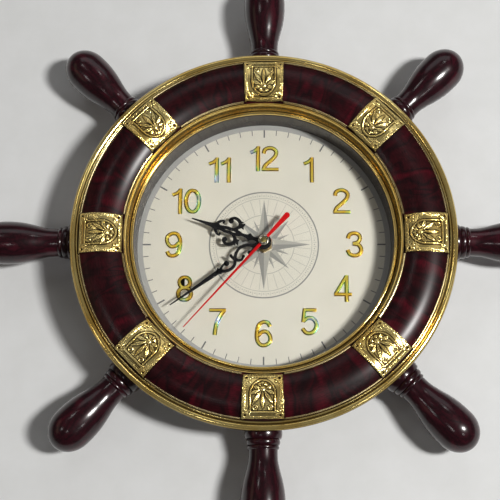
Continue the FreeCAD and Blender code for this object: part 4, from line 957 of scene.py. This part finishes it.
    def build(self) -> list[bpy.types.Object]:
        """Sculpt one plaque, bend it over the crown and copy it round the rim."""
        Bench.clear()
        bpy.ops.mesh.primitive_grid_add(x_subdivisions=self.columns, y_subdivisions=self.rows, size=2.0)
        piece = bpy.context.object
        middle = (self.inner_y + self.outer_y) / 2
        crown = self.rim.crown(0, 2)
        reach = math.dist(crown[1], ((crown[0][0] + crown[2][0]) / 2, crown[0][1]))
        half_chord = (self.rim.outer_radius - self.rim.inner_radius) / 2
        radius = (half_chord ** 2 + reach ** 2) / (2 * reach)
        centre = (crown[1][0], crown[1][1] - radius)
        painted_light_shares = []
        for vertex in piece.data.vertices:
            v = vertex.co.y * (self.outer_y - self.inner_y) / 2
            share = (vertex.co.y + 1) / 2
            half = self.inner_half + (self.outer_half - self.inner_half) * share
            u = vertex.co.x * half
            height = self.relief(u, v, half)
            # Painted shade and light for each vertex, stored in the relief attribute.
            painted_light_shares.append(self.hollow_mask(u, v, half))
            lift = radius + self.thickness + 0.8 * height
            y = middle + v
            z = centre[1] + math.sqrt(max(lift ** 2 - (y - centre[0]) ** 2, 0.0))
            vertex.co = Vector((u, y, z)) * MM
        layer = piece.data.attributes.new("relief", "FLOAT_VECTOR", "POINT")
        layer.data.foreach_set("vector", [part for share in painted_light_shares for part in (share, 0.0, 0.0)])
        Bench.pick(piece)
        bpy.ops.object.mode_set(mode="EDIT")
        bpy.ops.mesh.select_all(action="SELECT")
        bpy.ops.mesh.extrude_region_move(TRANSFORM_OT_translate={"value": (0, 0, -1.1 * MM)})
        bpy.ops.mesh.select_all(action="SELECT")
        bpy.ops.mesh.normals_make_consistent(inside=False)
        bpy.ops.object.mode_set(mode="OBJECT")
        Bench.smooth(piece, 50.0)
        twins = Bench.around(piece, [f"stamped_plaque_{index + 1}" for index in range(self.count)])
        for index, twin in enumerate(twins):
            finish(twin, PLAQUE_GILT, Body.CASE, "gilt_metal", f"plaque_{index + 1}")
        return twins


@dataclass
class Dial:
    """Dial well and the dial's print."""

    face_z: float = 20.9
    glass_z: float = 42.0
    foot_radius: float = 101.0
    well_wall: float = 2.6
    top_radius: float = 101.5
    print_height: float = 0.05
    white_radius: float = 96.8
    tick_lengths: tuple[float, float] = (4.4, 6.4)
    tick_widths: tuple[float, float] = (0.62, 1.15)
    rose_radius: float = 44.0

    def well(self) -> bpy.types.Object:
        """Glossy ring between the dial and the glass."""
        outline = [(self.foot_radius, self.face_z), (self.foot_radius + self.well_wall, self.face_z),
                   (self.foot_radius + self.well_wall, self.glass_z), (self.top_radius, self.glass_z),
                   (self.foot_radius, self.face_z)]
        return finish(Bench.lathe("well_ring", outline, 288), WELL, Body.CASE, "dark_gloss_ring", "dial_well")

    def band(self, name: str, inner: float, outer: float, look: Finish) -> bpy.types.Object:
        """Printed ring."""
        top = self.face_z + self.print_height
        outline = [(inner, self.face_z), (outer, self.face_z), (outer, top), (inner, top), (inner, self.face_z)]
        return finish(Bench.lathe(name, outline, 240), look, Body.CASE, "dial_print")

    def ticks(self) -> bpy.types.Object:
        """Sixty printed ticks inside the printed ring."""
        marks = []
        for minute in range(60):
            major = minute % 5 == 0
            length, width = self.tick_lengths[major], self.tick_widths[major]
            if minute < 2 or minute == 5:
                corners = [(-width / 2, self.white_radius - length), (width / 2, self.white_radius - length),
                           (width / 2, self.white_radius + 0.2), (-width / 2, self.white_radius + 0.2)]
                pattern = Bench.plate("tick_pattern", corners, self.face_z, self.face_z + self.print_height)
                if minute == 0:
                    major_pattern = pattern
                elif minute == 1:
                    minor_pattern = pattern
            marks.append(Bench.copy(major_pattern if major else minor_pattern, f"tick_{minute}", minute * 6))
        for stray in [o for o in bpy.data.objects if o.name.startswith("tick_pattern")]:
            Bench.pick(stray)
            bpy.ops.object.delete()
        return finish(Bench.join("minute_ticks", marks), TICK_INK, Body.CASE, "dial_print")

    def rose(self) -> list[bpy.types.Object]:
        """Printed compass rose in two greys, within two rings and a ring of dots."""
        back, front = self.face_z, self.face_z + self.print_height
        dark, pale = [], []
        for reach, waist, first in ((22.0, 6.0, 22.5), (28.0, 6.6, 45.0), (37.0, 7.4, 0.0)):
            count = 8 if first == 22.5 else 4
            for index in range(count):
                turn = first + index * 360 / count
                for side, store in ((-1, pale), (1, dark)):
                    low = on_dial(waist, turn + side * (22.5 if count == 8 else 45))
                    inner = on_dial(waist * 0.55, turn)
                    tip = on_dial(reach, turn)
                    outline = [inner, low, tip] if side > 0 else [inner, tip, low]
                    store.append(Bench.plate("point", outline, back, front + 0.01 * (count == 4) + 0.01 * (first == 0.0)))
        dots = []
        pattern = Bench.plate("dot_pattern", arc((0.0, 40.4), 0.42, 0, 315, 7), back, front)
        dots = Bench.around(pattern, [f"dot_{index}" for index in range(72)])
        line = [(-0.14, 25.0), (0.14, 25.0), (0.14, 37.6), (-0.14, 37.6)]
        rays = Bench.around(Bench.plate("ray_pattern", line, back, front), [f"ray_{index}" for index in range(32)], 5.625)
        mark = [(-0.16, 39.4), (0.16, 39.4), (0.16, 42.0), (-0.16, 42.0)]
        marks = Bench.around(Bench.plate("mark_pattern", mark, back, front), [f"mark_{index}" for index in range(72)], 2.5)
        pieces = [
            finish(Bench.join("rose_rays", rays), PALE_INK, Body.CASE, "dial_print"),
            finish(Bench.join("rose_marks", marks), PALE_INK, Body.CASE, "dial_print"),
            finish(Bench.join("rose_dark_points", dark), ROSE_INK, Body.CASE, "dial_print"),
            finish(Bench.join("rose_pale_points", pale), PALE_INK, Body.CASE, "dial_print"),
            finish(Bench.join("rose_dots", dots), ROSE_INK, Body.CASE, "dial_print"),
        ]
        pieces.append(self.band("rose_outer_ring", self.rose_radius - 1.1, self.rose_radius, ROSE_INK))
        pieces.append(self.band("rose_thin_ring", 38.1, 38.5, PALE_INK))
        pieces.append(self.band("rose_inner_ring", 24.0, 24.5, PALE_INK))
        pieces.append(self.band("rose_fine_ring", 16.2, 16.6, PALE_INK))
        return pieces

    def build(self) -> list[bpy.types.Object]:
        """Make the well and the print."""
        return [self.well(), self.band("printed_ring", self.white_radius, self.foot_radius, RING_INK),
                self.ticks(), *self.rose()]


@dataclass
class Stroke:
    """One drawn line of a hand: places along it and its width at each."""

    points: list[Point]
    widths: list[float]


@dataclass
class Pen:
    """Flat cut-outs drawn with a pen: bars, spots and their union."""

    @staticmethod
    def ribbon(stroke: Stroke, rise: float, thickness: float) -> bpy.types.Object:
        """Flat bar along a smooth line, tapering with its widths and rounded at both ends."""
        centre = flow(stroke.points, 6)
        width_line = flow([(w, 0.0) for w in stroke.widths], 6)
        left, right = [], []
        for index, (x, y) in enumerate(centre):
            before, after = centre[max(index - 1, 0)], centre[min(index + 1, len(centre) - 1)]
            dx, dy = after[0] - before[0], after[1] - before[1]
            length = math.hypot(dx, dy)
            half = width_line[index][0] / 2
            left.append((x - dy / length * half, y + dx / length * half))
            right.append((x + dy / length * half, y - dx / length * half))
        return Bench.plate("bar", [*left, *reversed(right)], rise, rise + thickness)

    @staticmethod
    def ball(centre: Point, radius: float, rise: float, thickness: float) -> bpy.types.Object:
        """Flat round spot."""
        return Bench.plate("spot", arc(centre, radius, 0, 350, 35), rise, rise + thickness)

    @staticmethod
    def unite(name: str, parts: list[bpy.types.Object], softness: float) -> bpy.types.Object:
        """Unite overlapping flat parts into one solid with softened edges."""
        base = parts[0]
        for part in parts[1:]:
            Bench.modify(base, "BOOLEAN", operation="UNION", object=part, solver="EXACT")
            Bench.pick(part)
            bpy.ops.object.delete()
        base.name = base.data.name = name
        Bench.pick(base)
        bpy.ops.object.mode_set(mode="EDIT")
        Bench.close_up()
        Bench.modify(base, "BEVEL", width=softness * MM, segments=2, limit_method="ANGLE",
                     angle_limit=math.radians(50), use_clamp_overlap=True)
        return Bench.smooth(base, 30.0)


@dataclass
class Numerals:
    """Twelve applied foil numerals, drawn digit by digit with a broad pen."""

    face_z: float = 20.9
    circle: float = 72.2
    thickness: float = 1.1
    pen_width: float = 3.0
    gap: float = 1.3

    def strokes(self, digit: str) -> list[Stroke]:
        """Strokes of one digit, in millimetres about its middle."""
        broad, slim = self.pen_width, self.pen_width * 0.88
        top, bottom = math.pi / 2, -math.pi / 2

        def half_ring(centre: Point, across: float, tall: float, side: int) -> Stroke:
            """Half of an upright oval."""
            points = [(centre[0] + side * across * math.cos(top + (bottom - top) * step / 8),
                       centre[1] + tall * math.sin(top + (bottom - top) * step / 8)) for step in range(9)]
            points[0] = (points[0][0] - side * 0.3, points[0][1])
            points[-1] = (points[-1][0] - side * 0.3, points[-1][1])
            return Stroke(points, [slim, *[broad] * 7, slim])

        six = [(4.9, 5.6), (3.2, 8.6), (-0.4, 9.2), (-3.9, 6.8), (-5.3, 1.2), (-5.1, -4.6), (-2.8, -8.5),
               (1.0, -9.1), (4.6, -6.7), (5.1, -2.6), (2.6, 1.2), (-1.2, 1.4), (-4.5, -1.6)]
        drawings = {
            "0": [half_ring((0, 0), 5.3, 9.1, 1), half_ring((0.05, 0.07), 5.35, 9.13, -1)],
            "1": [Stroke([(1.9, 10.6), (1.9, 0), (1.9, -10.7)], [broad] * 3),
                  Stroke([(1.9, 9.4), (-0.9, 6.8), (-4.4, 5.2)], [2.6, 2.7, 2.8])],
            "2": [Stroke([(-5.2, 4.4), (-4.2, 7.7), (-0.6, 9.2), (3.0, 8.3), (5.0, 5.4), (3.9, 1.8), (0.2, -2.0),
                          (-3.9, -5.8), (-5.3, -9.0)], [broad] * 9),
                  Stroke([(-6.6, -9.2), (0, -9.2), (6.9, -9.2)], [slim] * 3)],
            "3": [Stroke([(-5.1, 4.8), (-3.8, 8.0), (-0.2, 9.2), (3.4, 8.0), (4.5, 4.9), (2.7, 1.7), (-1.2, 0.6)],
                         [broad] * 7),
                  Stroke([(-1.2, 0.5), (3.2, -0.4), (5.3, -3.9), (4.1, -7.6), (0.2, -9.2), (-3.8, -8.1),
                          (-5.4, -4.6)], [broad] * 7)],
            "4": [Stroke([(2.6, 9.6), (-1.5, 2.9), (-5.6, -4.0)], [slim] * 3),
                  Stroke([(-6.9, -4.7), (0, -4.7), (6.9, -4.7)], [slim] * 3),
                  Stroke([(2.9, 10.7), (2.9, 0), (2.9, -10.7)], [broad] * 3)],
            "5": [Stroke([(-4.2, 9.2), (0, 9.2), (5.6, 9.2)], [slim] * 3),
                  Stroke([(-3.6, 10.4), (-4.3, 5.0), (-4.9, -0.6)], [slim] * 3),
                  Stroke([(-4.7, 0.0), (-1.8, 2.5), (2.2, 2.5), (5.2, -0.8), (5.1, -5.2), (2.2, -8.7), (-2.2, -9.1),
                          (-5.4, -5.6)], [slim, broad, broad, broad, broad, broad, broad, broad])],
            "6": [Stroke(six, [broad] * len(six))],
            "7": [Stroke([(-6.5, 9.1), (0, 9.1), (6.5, 9.1)], [slim] * 3),
                  Stroke([(5.4, 9.3), (1.7, 3.6), (-0.9, -2.6), (-2.1, -10.7)], [broad] * 4)],
            "8": [half_ring((0, 5.0), 4.2, 4.2, 1), half_ring((0, 5.0), 4.2, 4.2, -1),
                  half_ring((0, -4.2), 5.1, 4.95, 1), half_ring((0, -4.2), 5.1, 4.95, -1)],
            "9": [Stroke([(-x, -y) for x, y in six], [broad] * len(six))],
        }
        return drawings[digit]

    def digit(self, digit: str, share: float, thickness: float) -> bpy.types.Object:
        """One digit, its strokes united and its edges chamfered.

        Args:
            digit: Which of the ten.
            share: Width of the drawn strokes against the broad pen.
            thickness: Height over the dial, in millimetres.

        Returns:
            The digit about its own middle.
        """
        parts = [Pen.ribbon(Stroke(stroke.points, [width * share for width in stroke.widths]), self.face_z, thickness)
                 for stroke in self.strokes(digit)]
        return Pen.unite(f"digit_{digit}", parts, 0.3)

    @staticmethod
    def reach(piece: bpy.types.Object) -> tuple[float, float]:
        """Least and most X of a piece, in millimetres."""
        across = [vertex.co.x / MM for vertex in piece.data.vertices]
        return min(across), max(across)

    def layer(self, name: str, share: float, thickness: float, spans: dict[str, tuple[float, float]]) -> bpy.types.Object:
        """Draw the ten digits once and set them out as numerals 1 to 12.

        Args:
            name: Name of the joined piece.
            share: Width of the strokes against the broad pen.
            thickness: Height over the dial, in millimetres.
            spans: Least and most X of each digit; filled in by the first layer.

        Returns:
            All fifteen digits in one object.
        """
        patterns = {digit: self.digit(digit, share, thickness) for digit in "0123456789"}
        for digit, pattern in patterns.items():
            spans.setdefault(digit, self.reach(pattern))
        placed = []
        for hour in range(1, 13):
            x, y = on_dial(self.circle, hour * 30)
            widths = [spans[digit][1] - spans[digit][0] for digit in str(hour)]
            left = x - (sum(widths) + self.gap * (len(widths) - 1)) / 2
            for digit, width in zip(str(hour), widths):
                twin = Bench.copy(patterns[digit], f"numeral_{hour}_{len(placed)}", 0)
                twin.location = ((left - spans[digit][0]) * MM, y * MM, 0)
                bpy.ops.object.transform_apply(location=True)
                placed.append(twin)
                left += width + self.gap
        for pattern in patterns.values():
            Bench.pick(pattern)
            bpy.ops.object.delete()
        return Bench.join(name, placed)

    def build(self) -> list[bpy.types.Object]:
        """Foil edges darkened with painted shade and painted dark reflection, with a narrower bright core standing over
        them.
        """
        spans: dict[str, tuple[float, float]] = {}
        return [
            finish(self.layer("foil_numeral_edges", 1.1, 0.55, spans), SHADED_EDGE_FOIL, Body.CASE, "foil_numerals", "numerals"),
            finish(self.layer("foil_numeral_cores", 0.56, 1.1, spans), CORE_FOIL, Body.CASE, "foil_numerals", "numerals"),
        ]


@dataclass
class Hands:
    """Pierced hour and minute hands, the red second hand and the button over it."""

    face_z: float = 20.9
    rises: tuple[float, float, float] = (8.0, 10.6, 13.2)
    lengths: tuple[float, float, float] = (60.5, 89.4, 93.0)
    degrees: tuple[float, float, float] = (288.8, 234.8, 221.8)
    thickness: float = 0.6
    pipe_radius: float = 2.55
    tube_radius: float = 1.75
    weight: float = 1.62

    def hour_strokes(self) -> tuple[list[Stroke], list[tuple[Point, float]]]:
        """Strokes and spots of the hour hand, pointing to 12, alike on both sides."""
        side = [
            Stroke([(0.3, 38.6), (1.5, 32.2), (1.8, 25.9), (5.6, 22.3), (9.3, 23.2), (11.1, 27.6), (9.3, 31.0), (7.9, 30.6)],
                   [1.5, 1.6, 1.5, 1.7, 1.8, 1.5, 1.2, 1.0]),
            Stroke([(0.4, 41.0), (3.0, 39.6), (5.4, 37.6), (5.9, 35.4), (4.3, 35.2)], [2.0, 1.6, 1.2, 1.0, 0.9]),
            Stroke([(1.8, 26.2), (1.2, 22.6), (0.2, 19.4)], [1.4, 1.6, 1.9]),
            Stroke([(5.4, 22.6), (7.0, 20.4), (9.2, 18.6)], [2.2, 1.9, 0.4]),
            Stroke([(6.6, 22.0), (5.6, 19.8), (4.4, 18.6)], [1.8, 1.2, 0.4]),
            Stroke([(8.6, 22.6), (9.4, 21.4), (10.0, 20.4)], [1.6, 1.0, 0.4]),
        ]
        mirrored = [Stroke([(-x, y) for x, y in s.points], s.widths) for s in side]
        stem = [
            Stroke([(0, 3.6), (0, 8.0), (0, 10.2), (0, 12.3), (0, 14.6), (0, 20.4)], [2.6, 1.7, 2.4, 3.9, 1.8, 1.6]),
            Stroke([(0, 36.6), (0, 40.0), (0, 42.5), (0, 48.0), (0, 60.5)], [2.2, 3.7, 2.6, 1.6, 0.5]),
        ]
        spots = [((sign * 7.9, 30.1), 2.1) for sign in (-1, 1)] + [((sign * 4.3, 35.4), 0.7) for sign in (-1, 1)]
        return [*side, *mirrored, *stem], spots

    def minute_strokes(self) -> tuple[list[Stroke], list[tuple[Point, float]]]:
        """Strokes and spots of the minute hand, pointing to 12."""
        strokes = [
            Stroke([(0.0, 42.0), (-2.6, 38.6), (-3.8, 34.0), (-2.3, 29.4), (1.4, 27.0)], [1.7, 1.5, 1.5, 1.5, 1.5]),
            Stroke([(0.2, 41.6), (1.6, 39.4), (2.4, 36.6), (1.9, 34.6)], [1.4, 1.1, 1.1, 1.4]),
            Stroke([(1.2, 27.2), (3.0, 27.8), (4.8, 28.0)], [1.6, 1.4, 1.2]),
            Stroke([(1.4, 27.2), (-1.2, 25.6), (-2.4, 23.0), (-1.0, 20.3)], [1.7, 1.4, 1.2, 1.1]),
            Stroke([(1.3, 27.0), (4.6, 23.2), (6.3, 18.4), (5.2, 13.2), (1.8, 9.0), (0.2, 6.0)],
                   [1.8, 1.5, 1.5, 1.5, 1.7, 2.2]),
            Stroke([(1.2, 8.6), (-0.9, 11.0), (-1.1, 14.4)], [1.6, 1.2, 1.2]),
            Stroke([(0, 3.2), (0.3, 6.0), (1.0, 9.2)], [3.2, 2.8, 2.2]),
            Stroke([(0, 39.6), (0, 41.2), (0, 42.6), (0, 44.4), (0, 46.0), (0, 60.0), (0, 89.4)],
                   [1.2, 2.2, 3.6, 2.0, 2.2, 1.7, 0.5]),
        ]
        spots = [((1.9, 34.4), 2.15), ((4.9, 28.0), 1.3), ((-0.9, 20.2), 1.3), ((-1.1, 14.6), 1.5)]
        return strokes, spots

    def pierced(self, name: str, order: int, drawing: tuple[list[Stroke], list[tuple[Point, float]]],
                collet: tuple[float, float, float]) -> bpy.types.Object:
        """Hand made of strokes and spots, round a collet with a hole.

        Args:
            name: Name of the piece.
            order: 0 for the hour hand and 1 for the minute hand.
            drawing: Its strokes and spots.
            collet: Collet's radius, the hole's radius and the collet's height.

        Returns:
            The hand, turned to its time.
        """
        rise = self.face_z + self.rises[order]
        parts = [Pen.ribbon(Stroke(stroke.points, [width * self.weight for width in stroke.widths]),
                            rise, self.thickness) for stroke in drawing[0]]
        parts += [Pen.ball(centre, radius, rise, self.thickness) for centre, radius in drawing[1]]
        blade = Pen.unite(name, parts, 0.12)
        outer, hole, height = collet
        outline = [(hole, rise - 0.02), (outer, rise - 0.02), (outer, rise + height - 0.3),
                   (outer - 0.3, rise + height), (hole, rise + height), (hole, rise - 0.02)]
        ring = Bench.lathe("collet", outline, 48)
        piece = Bench.join(name, [blade, ring])
        twin = Bench.copy(piece, name, self.degrees[order])
        Bench.pick(piece)
        bpy.ops.object.delete()
        twin.name = twin.data.name = name
        return twin

    def second_hand(self) -> bpy.types.Object:
        """Slender red hand with a rounded tail."""
        rise = self.face_z + self.rises[2]
        parts = [
            Pen.ribbon(Stroke([(0, 0), (0, 30), (0, 93.0)], [2.5, 1.9, 0.7]), rise, 0.5),
            Pen.ribbon(Stroke([(0, 1), (0, -12), (0, -27.6)], [1.8, 2.9, 4.4]), rise, 0.5),
            Pen.ball((0.0, -27.6), 2.25, rise, 0.5),
            Pen.ball((0.0, 0.0), 3.4, rise, 0.5),
        ]
        blade = Pen.unite("red_second_hand", parts, 0.12)
        twin = Bench.copy(blade, "red_second_hand", self.degrees[2])
        Bench.pick(blade)
        bpy.ops.object.delete()
        twin.name = twin.data.name = "red_second_hand"
        return twin

    def button(self) -> list[bpy.types.Object]:
        """Plated button with a darker hollow centre."""
        rise = self.face_z + self.rises[2] + 0.52
        ring = [(0.0, rise), (4.2, rise), (4.2, rise + 1.2), *arc((3.3, rise + 1.3), 0.9, 0, 130, 8),
                (2.3, rise + 1.5), (0.0, rise + 1.35), (0.0, rise)]
        centre = [(0.0, rise + 1.36), (2.2, rise + 1.5), (1.6, rise + 1.62), (0.0, rise + 1.7), (0.0, rise + 1.36)]
        return [finish(Bench.lathe("button_ring", ring, 64), NICKEL, Body.SECONDS, "gilt_metal", "hub_cap"),
                finish(Bench.lathe("button_centre", centre, 48), OLIVE, Body.SECONDS, "gilt_metal")]

    def build(self) -> list[bpy.types.Object]:
        """Make the hands and the button."""
        hour = self.pierced("scroll_hour_hand", 0, self.hour_strokes(), (6.1, self.pipe_radius, 0.9))
        minute = self.pierced("scroll_minute_hand", 1, self.minute_strokes(), (5.5, self.tube_radius, 1.4))
        return [finish(hour, ENAMEL, Body.HOUR, "black_hands", "hour_hand"),
                finish(minute, ENAMEL, Body.MINUTE, "black_hands", "minute_hand"),
                finish(self.second_hand(), RED, Body.SECONDS, "red_hand", "second_hand"),
                *self.button()]


@dataclass
class Studio:
    """Pale wall, lamps, plain world and the camera."""

    dial_depth: float = 0.0209
    distance: float = 0.9097
    below: float = 0.25858
    aside: float = 0.01496
    roll: float = 0.003
    focal_px: float = 1138.85
    frame_px: float = 500.0
    centre_px: Point = (263.93, 244.71)
    wall_size: float = 6.0
    world_level: float = 0.05

    def wall(self) -> bpy.types.Object:
        """Wall plane just behind the clock."""
        Bench.clear()
        bpy.ops.mesh.primitive_plane_add(size=self.wall_size, rotation=(math.radians(90), 0, 0), location=(0, 0.0006, 0))
        wall = bpy.context.object
        wall.name = "wall_backdrop"
        bpy.ops.object.transform_apply(location=True, rotation=True, scale=True)
        wall.data.materials.append(WALL.material())
        return wall

    @staticmethod
    def lamp(name: str, place: tuple[float, float, float], size: tuple[float, float], power: float, colour: Colour) -> None:
        """Area lamp that faces the dial."""
        Bench.clear()
        bpy.ops.object.light_add(type="AREA", location=place)
        lamp = bpy.context.object
        lamp.name = name
        lamp.data.shape = "RECTANGLE"
        lamp.data.size, lamp.data.size_y = size
        lamp.data.energy = power
        lamp.data.color = colour
        lamp.rotation_euler = (-Vector(place)).to_track_quat("-Z", "Y").to_euler()

    def lights(self) -> None:
        """Key lamp from the right, two weaker lamps and a plain world."""
        self.lamp("key_lamp", (1.20, -1.88, -0.22), (0.24, 0.24), 32.0, (1.0, 0.985, 0.96))
        self.lamp("near_lamp", (1.05, -1.95, -0.22), (0.16, 0.16), 14.0, (1.0, 0.985, 0.96))
        self.lamp("top_lamp", (0.1, -1.4, 1.8), (2.4, 0.9), 5.0, (0.97, 0.98, 1.0))
        self.lamp("left_lamp", (-1.9, -1.1, 0.1), (0.5, 1.8), 1.1, (1.0, 0.74, 0.50))
        self.lamp("back_lamp", (0.5, 1.9, 0.6), (0.9, 0.9), 26.0, (1.0, 1.0, 1.0))
        for number, (across, out, up) in enumerate(((-0.9, -1.9, 0.8), (-0.5, -2.1, -0.9), (0.5, -1.8, 1.2),
                                                    (-1.3, -1.6, -0.3), (0.9, -1.6, -1.0))):
            self.lamp(f"sparkle_lamp_{number}", (across, out, up), (0.18, 0.18), 0.9, (1.0, 0.99, 0.97))
        world = bpy.data.worlds.new("plain_world")
        bpy.context.scene.world = world
        world.use_nodes = True
        backdrop = world.node_tree.nodes["Background"]
        backdrop.inputs["Color"].default_value = (1.0, 0.99, 0.97, 1)
        backdrop.inputs["Strength"].default_value = self.world_level

    def camera(self) -> None:
        """Camera at the photograph's place, angle and framing."""
        toward = Vector((math.sin(self.aside) * math.cos(self.below),
                         -math.cos(self.aside) * math.cos(self.below), -math.sin(self.below)))
        Bench.clear()
        bpy.ops.object.camera_add(location=Vector((0, -self.dial_depth, 0)) + toward * self.distance)
        camera = bpy.context.object
        camera.name = "photo_camera"
        aim = (-toward).to_track_quat("-Z", "Y")
        camera.rotation_euler = aim.to_euler()
        camera.rotation_euler.rotate_axis("Z", self.roll)
        camera.data.sensor_width = 36.0
        camera.data.lens = self.focal_px / self.frame_px * 36.0
        camera.data.shift_x = -(self.centre_px[0] - self.frame_px / 2) / self.frame_px
        camera.data.shift_y = (self.centre_px[1] - self.frame_px / 2) / self.frame_px
        camera.data.clip_start = 0.01
        bpy.context.scene.camera = camera

    def build(self) -> None:
        """Set up the stage."""
        self.wall()
        self.lights()
        self.camera()
        bpy.context.scene.view_settings.view_transform = "Standard"


def dress_carried() -> None:
    """Give every carried-over CAD node its finish."""
    for name, look in CARRIED.items():
        piece = frame["nodes"][name]
        piece.data.materials.clear()
        piece.data.materials.append(look.material())


def main() -> None:
    """Build the clock piece by piece, then the stage."""
    logging.basicConfig(level=logging.INFO, format="%(name)s: %(message)s")
    dress_carried()
    for builder in (Rim(), Handles(), Mouldings(), Plaques(), Dial(), Numerals(), Hands()):
        pieces = builder.build()
        LOG.info("%s done: %s", type(builder).__name__, pieces)
    Studio().build()


if __name__ == "__main__":
    main()
